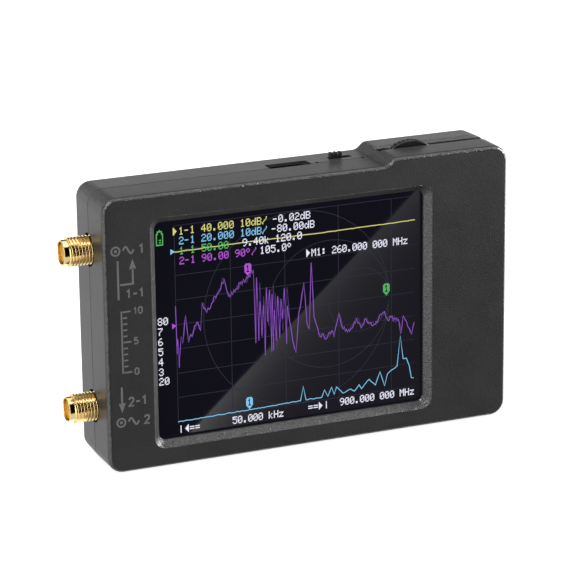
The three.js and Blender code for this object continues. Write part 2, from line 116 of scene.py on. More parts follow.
CHANNEL_Y = (7.25, 10.6)
CHANNEL_X = (66.6, 90.2)
CHANNEL_FLOOR = 55.0
MOUTH_X = 65.2
MOUTH_Z = 58.9
RIDGE_BEVEL = (0.9, 0.6)
UNDERCUT_BACK = 13.0
UNDERCUT_Z = (56.0, RAISED_H - 1.2)

USB_SLOT_HALF = 4.75
USB_SLOT_Y = (8.6, 12.15)
USB_WALL = 0.3
USB_BLADE_HALF = (3.35, 0.35)
USB_CONTACTS = 12
USB_CONTACT_PITCH = 0.5
USB_CONTACT_HALF = (0.12, 0.03)
USB_CONTACT_Z = (3.6, 0.4)
RESET_NOTCH = ((51.1, 51.9), (8.8, 9.6))
LED_HOLES = (((61.5, 62.3), (8.4, 9.3)), ((63.2, 63.8), (8.9, 9.6)))

KNOB_TRAVEL = 2.0
KNOB_STEM_Z = 1.5
KNOB_SHOULDER = 0.5
KNOB_GROOVE = 0.35
LEVER_HUB_R = 1.3
LEVER_PIN_R = 0.62
LEVER_HALF_ANGLE = 0.66
LEVER_TEETH = 10
LEVER_TOOTH = 0.30

GRID_X = (16.8, 71.6)
GRID_Z = (8.3, 45.7)
GRID_COLUMN = 12.3
GRID_TOP = 51.0
GRID_LINE = 0.13
CHART_CENTRE = (44.3, 29.7)
CHART_R = 21.3
CONTENT_SHIFT = (-0.44, 0.35)


def place(point):
    """A point in case coordinates, in millimetres, as a point of the frame in metres."""
    return CORNER + Vector(point) * MM


def case_box(node):
    """A CAD node's lowest and highest corner in case coordinates."""
    low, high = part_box(node)
    return (low - CORNER) / MM, (high - CORNER) / MM


# --- mesh helpers

def link_object(name, data):
    obj = bpy.data.objects.new(name, data)
    bpy.context.scene.collection.objects.link(obj)
    return obj


def make_object(name, points, faces):
    """A mesh object with its faces pointing outwards, from points in case coordinates."""
    mesh = bpy.data.meshes.new(name)
    mesh.from_pydata([place(point) for point in points], [], faces)
    made = bmesh.new()
    made.from_mesh(mesh)
    bmesh.ops.remove_doubles(made, verts=made.verts, dist=1e-7)
    bmesh.ops.recalc_face_normals(made, faces=made.faces)
    made.to_mesh(mesh)
    made.free()
    return link_object(name, mesh)


def loft(name, rings, wrap=False):
    """A closed body through rings of equally many points; wrap joins the last to the first."""
    count = len(rings[0])
    points = [point for ring in rings for point in ring]
    faces = []
    spans = len(rings) if wrap else len(rings) - 1
    for i in range(spans):
        a = i * count
        b = ((i + 1) % len(rings)) * count
        for j in range(count):
            k = (j + 1) % count
            faces.append((a + j, a + k, b + k, b + j))
    if not wrap:
        faces.append(tuple(range(count)))
        faces.append(tuple(range((len(rings) - 1) * count, len(rings) * count)))
    return make_object(name, points, faces)


def rectangle(xs, zs):
    return [(xs[0], zs[0]), (xs[1], zs[0]), (xs[1], zs[1]), (xs[0], zs[1])]


def box(name, xs, ys, zs):
    """A plain block, used as a cutter or as one member of a larger piece."""
    return loft(name, [[(x, y, z) for x, z in rectangle(xs, zs)] for y in ys])


def rounded_rectangle(first, second, radius, steps=6):
    """The outline of a rectangle with round corners, anticlockwise, as pairs."""
    centres = [
        (first[1] - radius, second[0] + radius, -90), (first[1] - radius, second[1] - radius, 0),
        (first[0] + radius, second[1] - radius, 90), (first[0] + radius, second[0] + radius, 180),
    ]
    outline = []
    for cx, cz, start in centres:
        for i in range(steps + 1):
            angle = math.radians(start + 90 * i / steps)
            outline.append((cx + radius * math.cos(angle), cz + radius * math.sin(angle)))
    return outline


def turned(name, centre, axis, profile, segments=48, wrap=False):
    """A body turned about x or y: profile lists (distance along the axis, radius), end to end."""
    rings = []
    for along, radius in profile:
        ring = []
        for i in range(segments):
            angle = 2 * math.pi * i / segments
            u = radius * math.cos(angle)
            v = radius * math.sin(angle)
            offset = (along, u, v) if axis == "x" else (u, along, v)
            ring.append(tuple(c + o for c, o in zip(centre, offset)))
        rings.append(ring)
    return loft(name, rings, wrap)


def settle(obj):
    """Applies the modifiers to the mesh."""
    bpy.context.view_layer.update()
    graph = bpy.context.evaluated_depsgraph_get()
    mesh = bpy.data.meshes.new_from_object(obj.evaluated_get(graph))
    obj.modifiers.clear()
    old = obj.data
    obj.data = mesh
    bpy.data.meshes.remove(old)
    return obj


def combine(obj, operation, *others):
    """Joins the others to obj or cuts them out of it; the others are used up."""
    for other in others:
        modifier = obj.modifiers.new("combine", "BOOLEAN")
        modifier.operation = operation
        modifier.solver = "EXACT"
        modifier.object = other
        settle(obj)
        bpy.data.objects.remove(other)
    return obj


def cut(obj, *tools):
    return combine(obj, "DIFFERENCE", *tools)


def join(obj, *others):
    return combine(obj, "UNION", *others)


def gather(name, objects):
    """Puts several closed bodies into one mesh object."""
    gathered = bmesh.new()
    for obj in objects:
        gathered.from_mesh(obj.data)
        bpy.data.objects.remove(obj)
    mesh = bpy.data.meshes.new(name)
    gathered.to_mesh(mesh)
    gathered.free()
    return link_object(name, mesh)


def soften(obj, width):
    """Rounds the sharp edges of a small piece."""
    modifier = obj.modifiers.new("soften", "BEVEL")
    modifier.width = width * MM
    modifier.segments = 2
    modifier.limit_method = "ANGLE"
    modifier.angle_limit = math.radians(30)
    return settle(obj)


def shade(obj, angle=32):
    """Smooth shading that breaks at sharp edges; weighted normals keep the large faces flat."""
    made = bmesh.new()
    made.from_mesh(obj.data)
    limit = math.radians(angle)
    for face in made.faces:
        face.smooth = True
    for edge in made.edges:
        edge.smooth = len(edge.link_faces) == 2 and edge.calc_face_angle(0.0) < limit
    made.to_mesh(obj.data)
    made.free()
    modifier = obj.modifiers.new("flat_faces", "WEIGHTED_NORMAL")
    modifier.keep_sharp = True
    modifier.weight = 100
    return settle(obj)


def finish_piece(obj, body, slot, material, *nodes):
    """Gives a finished piece its body and its material, and hides the CAD nodes it stands for. The slot
    is not used.
    """
    obj.data.materials.clear()
    obj.data.materials.append(material)
    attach(obj, body)
    if nodes:
        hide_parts(*nodes)
    return obj


# --- node helpers

def add_node(tree, kind, settings=None, **inputs):
    """Adds a node; an input's name has _ for its spaces, and its value is a number or a socket."""
    made = tree.nodes.new(kind)
    for key, value in (settings or {}).items():
        setattr(made, key, value)
    for key, value in inputs.items():
        socket = made.inputs[key.replace("_", " ")]
        if isinstance(value, bpy.types.NodeSocket):
            tree.links.new(value, socket)
        else:
            socket.default_value = value
    return made


def new_material(name):
    """An empty material and its node tree."""
    material = bpy.data.materials.new(name)
    material.use_nodes = True
    material.node_tree.nodes.clear()
    return material, material.node_tree


def surface(material, **inputs):
    """Closes a material with a Principled shader."""
    tree = material.node_tree
    shader = add_node(tree, "ShaderNodeBsdfPrincipled", **inputs)
    add_node(tree, "ShaderNodeOutputMaterial", Surface=shader.outputs["BSDF"])
    return material


def object_coordinates(tree, stretch=(1.0, 1.0, 1.0)):
    coordinates = add_node(tree, "ShaderNodeTexCoord").outputs["Object"]
    return add_node(tree, "ShaderNodeMapping", Vector=coordinates, Scale=stretch).outputs["Vector"]


def noise(tree, size, detail=2.0, roughness=0.5, stretch=(1.0, 1.0, 1.0)):
    """Noise from 0 to 1 whose cells are size millimetres across."""
    vector = object_coordinates(tree, stretch)
    made = add_node(
        tree, "ShaderNodeTexNoise", Vector=vector, Scale=1 / (size * MM), Detail=detail,
        Roughness=roughness,
    )
    return made.outputs["Fac"]


def cells(tree, size):
    """Distance to the nearest of scattered points, for pebbled grain."""
    vector = object_coordinates(tree)
    made = add_node(tree, "ShaderNodeTexVoronoi", Vector=vector, Scale=1 / (size * MM))
    return made.outputs["Distance"]


def remap(tree, value, low, high, from_low=0.0, from_high=1.0):
    made = add_node(
        tree, "ShaderNodeMapRange", Value=value, From_Min=from_low, From_Max=from_high,
        To_Min=low, To_Max=high,
    )
    return made.outputs["Result"]


def blend_colours(tree, factor, first, second):
    made = tree.nodes.new("ShaderNodeMix")
    made.data_type = "RGBA"
    tree.links.new(factor, made.inputs[0])
    for index, colour in ((6, first), (7, second)):
        if isinstance(colour, bpy.types.NodeSocket):
            tree.links.new(colour, made.inputs[index])
        else:
            made.inputs[index].default_value = (*colour, 1.0)
    return made.outputs[2]


def arithmetic(tree, operation, first, second=0.0):
    made = tree.nodes.new("ShaderNodeMath")
    made.operation = operation
    for index, value in ((0, first), (1, second)):
        if isinstance(value, bpy.types.NodeSocket):
            tree.links.new(value, made.inputs[index])
        else:
            made.inputs[index].default_value = value
    return made.outputs["Value"]


def bump(tree, height, depth):
    """A bump of depth millimetres for a height from 0 to 1."""
    made = add_node(tree, "ShaderNodeBump", Height=height, Distance=depth * MM, Strength=1.0)
    return made.outputs["Normal"]


# --- materials

def flatness(tree):
    """1 on faces square to the piece's axes, less on fillets, bevels and ramps."""
    normal = add_node(tree, "ShaderNodeTexCoord").outputs["Normal"]
    parts = add_node(tree, "ShaderNodeSeparateXYZ", Vector=normal)
    sides = [arithmetic(tree, "ABSOLUTE", parts.outputs[axis]) for axis in "XYZ"]
    return arithmetic(tree, "MAXIMUM", arithmetic(tree, "MAXIMUM", sides[0], sides[1]), sides[2])


SLOPING_TO_SQUARE = (0.90, 0.99)


def grained_plastic(name, dark, light, roughness, grain, depth):
    """Spark-eroded mould grain over a faintly mottled colour, coarser where edges are rounded."""
    material, tree = new_material(name)
    fine = noise(tree, grain, detail=2.0, roughness=0.55)
    pebbles = cells(tree, grain * 1.5)
    even = arithmetic(tree, "ADD", arithmetic(tree, "MULTIPLY", fine, 0.8), pebbles)
    square = flatness(tree)
    even = arithmetic(tree, "MULTIPLY", even, remap(tree, square, 0.35, 0.12, *SLOPING_TO_SQUARE))
    coarse = noise(tree, grain * 2.2, detail=2.0, roughness=0.6)
    coarse = arithmetic(tree, "MULTIPLY", coarse, remap(tree, square, 1.2, 0.0, *SLOPING_TO_SQUARE))
    height = arithmetic(tree, "ADD", even, coarse)
    mottle = noise(tree, 7.0, detail=5.0, roughness=0.6)
    specks = remap(tree, noise(tree, grain * 0.8), 0.0, 1.0, 0.45, 0.8)
    tint = arithmetic(tree, "ADD", arithmetic(tree, "MULTIPLY", mottle, 0.6), specks)
    gloss = arithmetic(tree, "ADD", arithmetic(tree, "MULTIPLY", mottle, 0.12), roughness - 0.06)
    return surface(
        material,
        Base_Color=blend_colours(tree, tint, dark, light),
        Roughness=gloss,
        Normal=bump(tree, height, depth),
    )


def smooth_plastic(name, dark, light, roughness, scale=2.5, depth=0.008):
    """Smoother moulding with faint flow marks and handling marks in its gloss."""
    material, tree = new_material(name)
    flow = noise(tree, scale, detail=4.0, roughness=0.6)
    rub = noise(tree, 0.5, detail=3.0, stretch=(0.4, 1.0, 1.0))
    return surface(
        material,
        Base_Color=blend_colours(tree, flow, dark, light),
        Roughness=remap(tree, rub, roughness - 0.08, roughness + 0.12),
        Normal=bump(tree, rub, depth),
    )


def metal(name, dark, light, roughness, scratch, depth=0.003):
    """Plated or drawn metal: uneven tint, fine scratches along one direction."""
    material, tree = new_material(name)
    patches = noise(tree, 1.8, detail=4.0, roughness=0.6)
    scratches = noise(tree, 0.12, detail=3.0, roughness=0.7, stretch=scratch)
    return surface(
        material,
        Base_Color=blend_colours(tree, patches, dark, light),
        Metallic=1.0,
        Roughness=remap(tree, scratches, roughness * 0.7, roughness * 1.5),
        Normal=bump(tree, scratches, depth),
    )


def circuit_board(name):
    """Green solder mask over a maze of copper tracks, with tinned pads."""
    material, tree = new_material(name)
    vector = object_coordinates(tree)
    tracks = add_node(
        tree, "ShaderNodeTexBrick", Vector=vector, Scale=1 / (4.2 * MM), Mortar_Size=0.05,
        Mortar_Smooth=0.2, Brick_Width=0.9, Row_Height=0.35,
    ).outputs["Fac"]
    pads = remap(tree, cells(tree, 2.6), 1.0, 0.0, 0.10, 0.13)
    mask = blend_colours(tree, noise(tree, 6.0, detail=4.0), (0.004, 0.030, 0.014), (0.008, 0.050, 0.022))
    traced = blend_colours(tree, tracks, mask, (0.016, 0.085, 0.036))
    return surface(
        material,
        Base_Color=blend_colours(tree, pads, traced, (0.62, 0.60, 0.55)),
        Metallic=pads,
        Roughness=remap(tree, noise(tree, 0.6), 0.28, 0.45),
        Normal=bump(tree, arithmetic(tree, "MAXIMUM", tracks, pads), 0.03),
    )


def striped_film(name):
    """Amber film over parallel copper strips, as on a flat flexible lead."""
    material, tree = new_material(name)
    strips = add_node(
        tree, "ShaderNodeTexWave", {"bands_direction": "Z"}, Vector=object_coordinates(tree),
        Scale=1 / (3.2 * MM), Distortion=0.0,
    ).outputs["Fac"]
    return surface(
        material,
        Base_Color=blend_colours(tree, strips, (0.30, 0.12, 0.02), (0.62, 0.33, 0.10)),
        Roughness=remap(tree, noise(tree, 0.8), 0.25, 0.4),
        Normal=bump(tree, strips, 0.02),
    )


def foam(name):
    """Open-cell black foam tape."""
    material, tree = new_material(name)
    pores = cells(tree, 0.3)
    return surface(
        material,
        Base_Color=blend_colours(tree, pores, (0.004, 0.004, 0.004), (0.02, 0.02, 0.02)),
        Roughness=remap(tree, pores, 0.85, 1.0),
        Normal=bump(tree, pores, 0.12),
    )


def pouch_foil(name):
    """Slightly crinkled aluminium laminate of a pouch cell."""
    material, tree = new_material(name)
    creases = noise(tree, 3.5, detail=5.0, roughness=0.65, stretch=(1.0, 1.0, 0.4))
    return surface(
        material,
        Base_Color=blend_colours(tree, creases, (0.40, 0.41, 0.42), (0.58, 0.58, 0.58)),
        Metallic=0.8,
        Roughness=remap(tree, creases, 0.28, 0.5),
        Normal=bump(tree, creases, 0.15),
    )


def cover_glass(name):
    """Dark glossy touch glass over a lit display whose black pixels leak a little blue."""
    material, tree = new_material(name)
    smear = noise(tree, 12.0, detail=4.0, stretch=(1.0, 1.0, 0.5))
    leak = blend_colours(
        tree, noise(tree, 22.0, detail=1.0), (0.0040, 0.0038, 0.0074), (0.0054, 0.0051, 0.0096),
    )
    return surface(
        material,
        Base_Color=blend_colours(tree, smear, (0.001, 0.001, 0.0015), (0.003, 0.003, 0.004)),
        Roughness=remap(tree, smear, 0.015, 0.05),
        IOR=1.8,
        Emission_Color=leak,
        Emission_Strength=1.0,
    )


def display_black(name):
    """The display's own face: a fine mesh of dark cells."""
    material, tree = new_material(name)
    mesh = add_node(
        tree, "ShaderNodeTexBrick", {"offset": 0.0}, Vector=object_coordinates(tree),
        Scale=1 / (0.36 * MM), Mortar_Size=0.08, Brick_Width=0.5, Row_Height=0.5,
    ).outputs["Fac"]
    return surface(
        material,
        Base_Color=blend_colours(tree, mesh, (0.006, 0.006, 0.008), (0.002, 0.002, 0.003)),
        Roughness=remap(tree, mesh, 0.25, 0.4),
    )


def lit_pixels(name, colour, strength):
    """Glowing display content: the brightness of its cells varies a little."""
    material, tree = new_material(name)
    flicker = noise(tree, 0.5, detail=1.0)
    dim = tuple(0.75 * channel for channel in colour)
    return surface(
        material,
        Base_Color=(0.0, 0.0, 0.0, 1.0),
        Roughness=0.6,
        Emission_Color=blend_colours(tree, flicker, dim, colour),
        Emission_Strength=strength,
    )


def ink(name):
    """Grey pad-printed ink that lets the grain through."""
    material, tree = new_material(name)
    cover = noise(tree, 0.25, detail=3.0, roughness=0.7)
    return surface(
        material,
        Base_Color=blend_colours(tree, cover, (0.12, 0.12, 0.12), (0.24, 0.24, 0.24)),
        Roughness=0.6,
        Normal=bump(tree, cover, 0.02),
    )


CASE = grained_plastic("case_grain", (0.010, 0.010, 0.0103), (0.021, 0.021, 0.0215), 0.36, 0.26, 0.15)
BLACK = smooth_plastic("black_moulding", (0.003, 0.003, 0.003), (0.007, 0.007, 0.007), 0.26)
GLASS = cover_glass("touch_glass")
DISPLAY = display_black("display_black")
FOAM = foam("foam_tape")
WHITE = smooth_plastic("white_moulding", (0.62, 0.60, 0.54), (0.74, 0.72, 0.66), 0.5)
FILM = striped_film("ribbon_film")
BOARD = circuit_board("board_resin")
CHIP = smooth_plastic("chip_epoxy", (0.008, 0.008, 0.009), (0.018, 0.018, 0.019), 0.5, 0.8, 0.02)
STEEL = metal("pressed_steel", (0.46, 0.47, 0.48), (0.60, 0.60, 0.60), 0.30, (1.0, 1.0, 0.15))
GOLD = metal("gold_plating", (0.92, 0.66, 0.27), (1.0, 0.80, 0.40), 0.13, (0.2, 1.0, 1.0), 0.002)
DARK_STEEL = metal("blackened_steel", (0.035, 0.036, 0.040), (0.08, 0.08, 0.085), 0.34, (1.0, 1.0, 0.15))
PTFE = smooth_plastic("ptfe", (0.72, 0.70, 0.64), (0.82, 0.80, 0.75), 0.45)
FOIL = pouch_foil("battery_foil")
RED = smooth_plastic("red_insulation", (0.36, 0.012, 0.008), (0.50, 0.020, 0.012), 0.42, 1.5, 0.01)
WIRE_BLACK = smooth_plastic(
    "black_insulation", (0.008, 0.008, 0.008), (0.016, 0.016, 0.016), 0.42, 1.5, 0.01,
)
LED = smooth_plastic("led_lens", (0.70, 0.70, 0.58), (0.85, 0.84, 0.72), 0.25)
INK = ink("grey_ink")

# CAD nodes that are shown as they are, by material.
SHOWN_NODES = (
    (FOAM, ("screen_gasket", "battery_pad")),
    (GLASS, ("touch_panel",)),
    (DISPLAY, ("lcd_panel",)),
    (FILM, ("screen_ribbon",)),
    (BOARD, ("main_board",)),
    (WHITE, ("backlight_tray", "ribbon_connector", "battery_socket", "battery_plug", "lever_carrier")),
    (CHIP, ("microcontroller", "clock_generator", "audio_codec", "port_1_mixer", "reference_mixer",
            "port_2_mixer", "charger_chip", "power_inductor")),
    (STEEL, ("reference_crystal", "rf_shield", "power_switch_body")),
    (LED, ("charge_led", "power_led")),
    (FOIL, ("battery_cell",)),
    (RED, ("battery_lead_red",)),
    (WIRE_BLACK, ("battery_lead_black",)),
    (BLACK, ("lever_switch_body",)),
)


def paint_cad_nodes():
    for material, names in SHOWN_NODES:
        for name in names:
            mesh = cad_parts[name].data
            mesh.materials.clear()
            mesh.materials.append(material)


# --- case

def quarter(cx, cz, start, steps=10):
    """A round corner of the case: (x, z, normal x, normal z) at each point."""
    points = []
    for i in range(steps + 1):
        angle = math.radians(start + 90 * i / steps)
        c, s = math.cos(angle), math.sin(angle)
        points.append((cx + CORNER_R * c, cz + CORNER_R * s, c, s))
    return points


def ramp(steps=14):
    """The S-curve from the raised part down to the low part, right to left."""
    ease = (RAMP_TOP_X - RAMP_FOOT_X) / 2
    xs = (RAMP_TOP_X, RAMP_TOP_X - ease, RAMP_FOOT_X + ease, RAMP_FOOT_X)
    zs = (RAISED_H, RAISED_H, CASE_H, CASE_H)
    points = []
    for i in range(steps + 1):
        t = i / steps
        weights = ((1 - t) ** 3, 3 * t * (1 - t) ** 2, 3 * t * t * (1 - t), t ** 3)
        slopes = (3 * (1 - t) ** 2, 6 * t * (1 - t), 3 * t * t)
        x = sum(w * value for w, value in zip(weights, xs))
        z = sum(w * value for w, value in zip(weights, zs))
        dx = sum(s * (xs[k + 1] - xs[k]) for k, s in enumerate(slopes))
        dz = sum(s * (zs[k + 1] - zs[k]) for k, s in enumerate(slopes))
        length = math.hypot(dx, dz)
        points.append((x, z, dz / length, -dx / length))
    return points


def case_outline():
    """The case seen from the front, anticlockwise from the lower right corner."""
    r = CORNER_R
    return (
        quarter(CASE_W - r, r, -90) + quarter(CASE_W - r, RAISED_H - r, 0) + ramp()
        + quarter(r, CASE_H - r, 90) + quarter(r, r, 180)
    )


OUTLINE = case_outline()


def case_body(name, profile):
    """The case's outline swept through (y, inset) pairs."""
    rings = []
    for y, inset in profile:
        rings.append([(x - nx * inset, y, z - nz * inset) for x, z, nx, nz in OUTLINE])
    return loft(name, rings)


def edge_round(steps=8):
    """(depth, inset) from a flat face round to the side wall."""
    turn = [math.radians(90 * i / steps) for i in range(steps + 1)]
    return [(EDGE_R * (1 - math.cos(a)), EDGE_R * (1 - math.sin(a))) for a in turn]


def half_profile(face_y, parting_y, draft):
    """(y, inset) from the outer face of one shell to the parting plane, with draft on the walls."""
    sign = 1 if parting_y > face_y else -1
    length = abs(parting_y - face_y)
    profile = []
    for depth, inset in edge_round():
        profile.append((face_y + sign * depth, inset + draft * (1 - depth / length)))
    edge = PARTING_EDGE
    profile.append((parting_y - sign * edge * 1.5, 0.02))
    profile.append((parting_y - sign * edge * 0.4, edge * 0.4))
    profile.append((parting_y, edge))
    return profile


def window_cutter():
    """Screen opening: softened outer edge, bevel, softened inner edge, short straight lip."""
    slope = WINDOW_BEVEL / WINDOW_BEVEL_DEPTH
    ends = WINDOW_BEVEL_DEPTH
    profile = [
        (-0.3, WINDOW_BEVEL + 0.32), (-0.02, WINDOW_BEVEL + 0.2), (0.03, WINDOW_BEVEL + 0.015),
        (0.12, WINDOW_BEVEL - 0.12 * slope), (ends - 0.12, 0.12 * slope), (ends - 0.02, 0.035),
        (ends + 0.1, 0.0), (FACE + 0.6, 0.0),
    ]
    rings = []
    for y, grow in profile:
        outline = rounded_rectangle(
            (WINDOW_X[0] - grow, WINDOW_X[1] + grow), (WINDOW_Z[0] - grow, WINDOW_Z[1] + grow),
            WINDOW_R + 0.5 * grow, 8,
        )
        rings.append([(x, y, z) for x, z in outline])
    return loft("window_cutter", rings)


def port_axis(number):
    """Centre of a port's barrel at the wall, in case coordinates."""
    low, high = case_box(f"port_{number}_body")
    return (0.0, (low.y + high.y) / 2, (low.z + high.z) / 2)


def port_hole(number):
    edge = PORT_HOLE_R
    profile = [(-0.6, edge + 0.5), (-0.02, edge + 0.16), (0.05, edge + 0.06), (0.2, edge),
               (WALL + 0.9, edge)]
    return turned("port_hole", port_axis(number), "x", profile, 64)


def top_opening(xs, ys, radius, soften_by=0.1):
    """A slot down through the top wall, with a softened rim."""
    profile = [(CASE_H - WALL - 0.9, 0.0), (CASE_H - soften_by, 0.0),
               (CASE_H - soften_by * 0.3, soften_by * 0.3), (CASE_H + 0.02, soften_by * 1.1),
               (CASE_H + 0.4, soften_by * 1.5)]
    rings = []
    for z, grow in profile:
        outline = rounded_rectangle(
            (xs[0] - grow, xs[1] + grow), (ys[0] - grow, ys[1] + grow), radius + grow, 4,
        )
        rings.append([(x, y, z) for x, y in outline])
    return loft("top_opening", rings)


def top_openings():
    """USB slot, knob slot, reset notch and the two indicator holes."""
    usb = case_box("usb_socket_shell")
    knob = case_box("power_switch_knob")
    usb_x = (usb[0].x + usb[1].x) / 2
    gap = 0.3
    slot_x = (knob[0].x + KNOB_SHOULDER - gap, knob[1].x - KNOB_SHOULDER + KNOB_TRAVEL + gap)
    return [
        top_opening((usb_x - USB_SLOT_HALF, usb_x + USB_SLOT_HALF), USB_SLOT_Y, 0.4),
        top_opening(slot_x, (knob[0].y - 0.25, knob[1].y + 0.25), 0.2),
        *[top_opening(xs, ys, 0.1, 0.05) for xs, ys in (RESET_NOTCH, *LED_HOLES)],
    ]


def channel_cutters():
    """The lever's channel with its softened front edge and bevelled rear edge."""
    front, back = CHANNEL_Y
    across, down = RIDGE_BEVEL
    top = RAISED_H

    def section(x, floor):
        points = [
            (front, floor), (back, floor), (back, top - down - 0.06), (back + 0.06, top - down + 0.03),
            (back + across - 0.08, top - 0.05), (back + across + 0.05, top + 0.01),
            (back + across + 0.2, top + 0.5), (front - 0.2, top + 0.5), (front - 0.16, top + 0.01),
            (front - 0.05, top - 0.05), (front, top - 0.18),
        ]
        return [(x, y, z) for y, z in points]

    slot = loft("slot", [section(x, CHANNEL_FLOOR) for x in CHANNEL_X])
    mouth = loft("mouth", [section(x, MOUTH_Z) for x in (MOUTH_X, CASE_W + 1)])
    return [slot, mouth]


def shared_openings():
    """Everything that is cut through both shells."""
    return [port_hole(1), port_hole(2), *top_openings(), *channel_cutters()]


def at_screws(make):
    """Whatever make(x, z) returns at each of the four screws."""
    return [make(x, z) for x in SCREW_XS for z in SCREW_ZS]


def pillar(x, z, radius, y_start, y_end):
    """A screw pillar, or the cutter for the hole through one."""
    return turned("pillar", (x, 0.0, z), "y", [(y_start, radius), (y_end, radius)], 32)


def build_front_shell():
    shell = case_body("front_shell_moulding", half_profile(0.0, PARTING_FRONT, FRONT_DRAFT))
    inside = case_body("inside", [
        (FACE, WALL + 0.25), (FACE + 0.25, WALL), (LIP_START - 0.1, WALL),
        (LIP_START - 0.1, WALL - 0.8), (PARTING_FRONT + 0.6, WALL - 0.8),
    ])
    cut(shell, inside)
    join(shell, *at_screws(lambda x, z: pillar(x, z, FRONT_PILLAR_R, FACE - 0.5, BOARD_FRONT - 0.1)))
    cut(shell, *at_screws(lambda x, z: pillar(x, z, PILOT_R, FACE + 1, PARTING_FRONT + 0.3)))
    cut(shell, window_cutter(), *shared_openings())
    shade(shell)
    return finish_piece(shell, "case", "case_plastic", CASE, "front_shell")


def build_rear_shell():
    shell = case_body("rear_shell_moulding", half_profile(CASE_D, PARTING_BACK, REAR_DRAFT))
    lip = case_body("lip", [(LIP_START, WALL - 0.7), (PARTING_BACK + 1.5, WALL - 0.7)])
    join(shell, lip)
    inside = case_body("inside", [
        (LIP_START - 0.5, WALL), (CASE_D - WALL - 0.25, WALL), (CASE_D - WALL, WALL + 0.25),
    ])
    cut(shell, inside)
    join(shell, *at_screws(
        lambda x, z: pillar(x, z, REAR_PILLAR_R, BOARD_BACK + 0.1, CASE_D - EDGE_R)
    ))
    cut(shell, *at_screws(
        lambda x, z: pillar(x, z, CLEARANCE_R, BOARD_BACK - 0.5, CASE_D - 0.8)
    ))
    cut(shell, *at_screws(screw_recess))
    cut(shell, *shared_openings())
    cut(shell, box("undercut", CHANNEL_X, (PARTING_BACK, UNDERCUT_BACK), UNDERCUT_Z))
    shade(shell)
    return finish_piece(shell, "case", "case_plastic", CASE, "rear_shell")


def screw_recess(x, z):
    """Counterbore at the back with a softened rim."""
    edge = SCREW_RECESS_R
    profile = [(CASE_D - 2, edge), (CASE_D - 0.14, edge), (CASE_D - 0.04, edge + 0.04),
               (CASE_D + 0.02, edge + 0.16), (CASE_D + 0.5, edge + 0.3)]
    return turned("screw_recess", (x, 0.0, z), "y", profile, 48)


def build_screw(number, x, z):
    """Pan-head screw with a cross recess."""
    top = CASE_D - SCREW_SINK
    seat = CASE_D - 1.95
    shank, head = SCREW_SHANK_R, SCREW_HEAD_R
    profile = [(SCREW_TIP, 0.0), (SCREW_TIP, 0.6), (SCREW_TIP + 0.5, shank), (seat, shank),
               (seat, head - 0.06), (seat + 0.08, head), (top - 0.55, head), (top - 0.3, 1.78),
               (top - 0.12, 1.45), (top - 0.03, 0.9), (top, 0.0)]
    screw = turned(f"case_screw_{number}_turned", (x, 0.0, z), "y", profile, 40)
    rings = []
    for y, size in ((CASE_D - 1.35, 0.45), (CASE_D - 0.9, 0.85), (CASE_D, 1.15)):
        rings.append([(x + u * size, y, z + v * size) for u, v in cross_outline(0.2)])
    cut(screw, loft("cross", rings))
    shade(screw)
    return finish_piece(screw, "case", "steel", STEEL, f"case_screw_{number}")


def cross_outline(half):
    """A cross with arms of length 1 and the given half width."""
    arm = [(1.0, -half), (1.0, half), (half, half)]
    outline = []
    for turn in range(4):
        c, s = math.cos(turn * math.pi / 2), math.sin(turn * math.pi / 2)
        outline += [(u * c - v * s, u * s + v * c) for u, v in arm]
    return outline


# --- coaxial ports

THREAD_PROFILE = [
    (0.02, PORT_ROOT_R), (0.10, PORT_ROOT_R), (0.24, PORT_THREAD_R - 0.04), (0.30, PORT_THREAD_R),
    (0.72, PORT_THREAD_R), (0.78, PORT_THREAD_R - 0.04), (0.92, PORT_ROOT_R),
]


def helical_thread(name, axis, start, end, segments=64):
    """Threaded bar: the profile climbs one pitch per turn, so its edges run along the helix."""
    count = len(THREAD_PROFILE)
    pitches = int((end - start) / THREAD_PITCH) + 3
    rims = [(pitch - 2 + share, radius) for pitch in range(pitches) for share, radius in THREAD_PROFILE]
    rims.append((pitches - 2 + THREAD_PROFILE[0][0], THREAD_PROFILE[0][1]))
    points = []
    for turns, radius in rims:
        for i in range(segments):
            angle = 2 * math.pi * i / segments
            x = start + (turns + i / segments) * THREAD_PITCH
            y = axis[1] + radius * math.cos(angle)
            points.append((x, y, axis[2] + radius * math.sin(angle)))
    rows = len(rims)
    faces = []
    for row in range(rows - 1):
        for i in range(segments - 1):
            a = row * segments + i
            faces.append((a, a + 1, a + segments + 1, a + segments))
        if row + 1 + count < rows:
            a = row * segments + segments - 1
            b = (row + count) * segments
            faces.append((a, b, b + segments, a + segments))
    # Each end is a ring with a step of one pitch in it, closed as a fan.
    first = list(range(segments)) + [row * segments for row in range(count, 0, -1)]
    last = list(range((rows - 1) * segments, rows * segments))
    last += [(rows - row) * segments - 1 for row in range(1, count + 1)]
    for loop in (first, last):
        centre = len(points)
        points.append((sum(points[i][0] for i in loop) / len(loop), axis[1], axis[2]))
        faces += [(centre, loop[i - 1], loop[i]) for i in range(len(loop))]
    return make_object(name, points, faces)


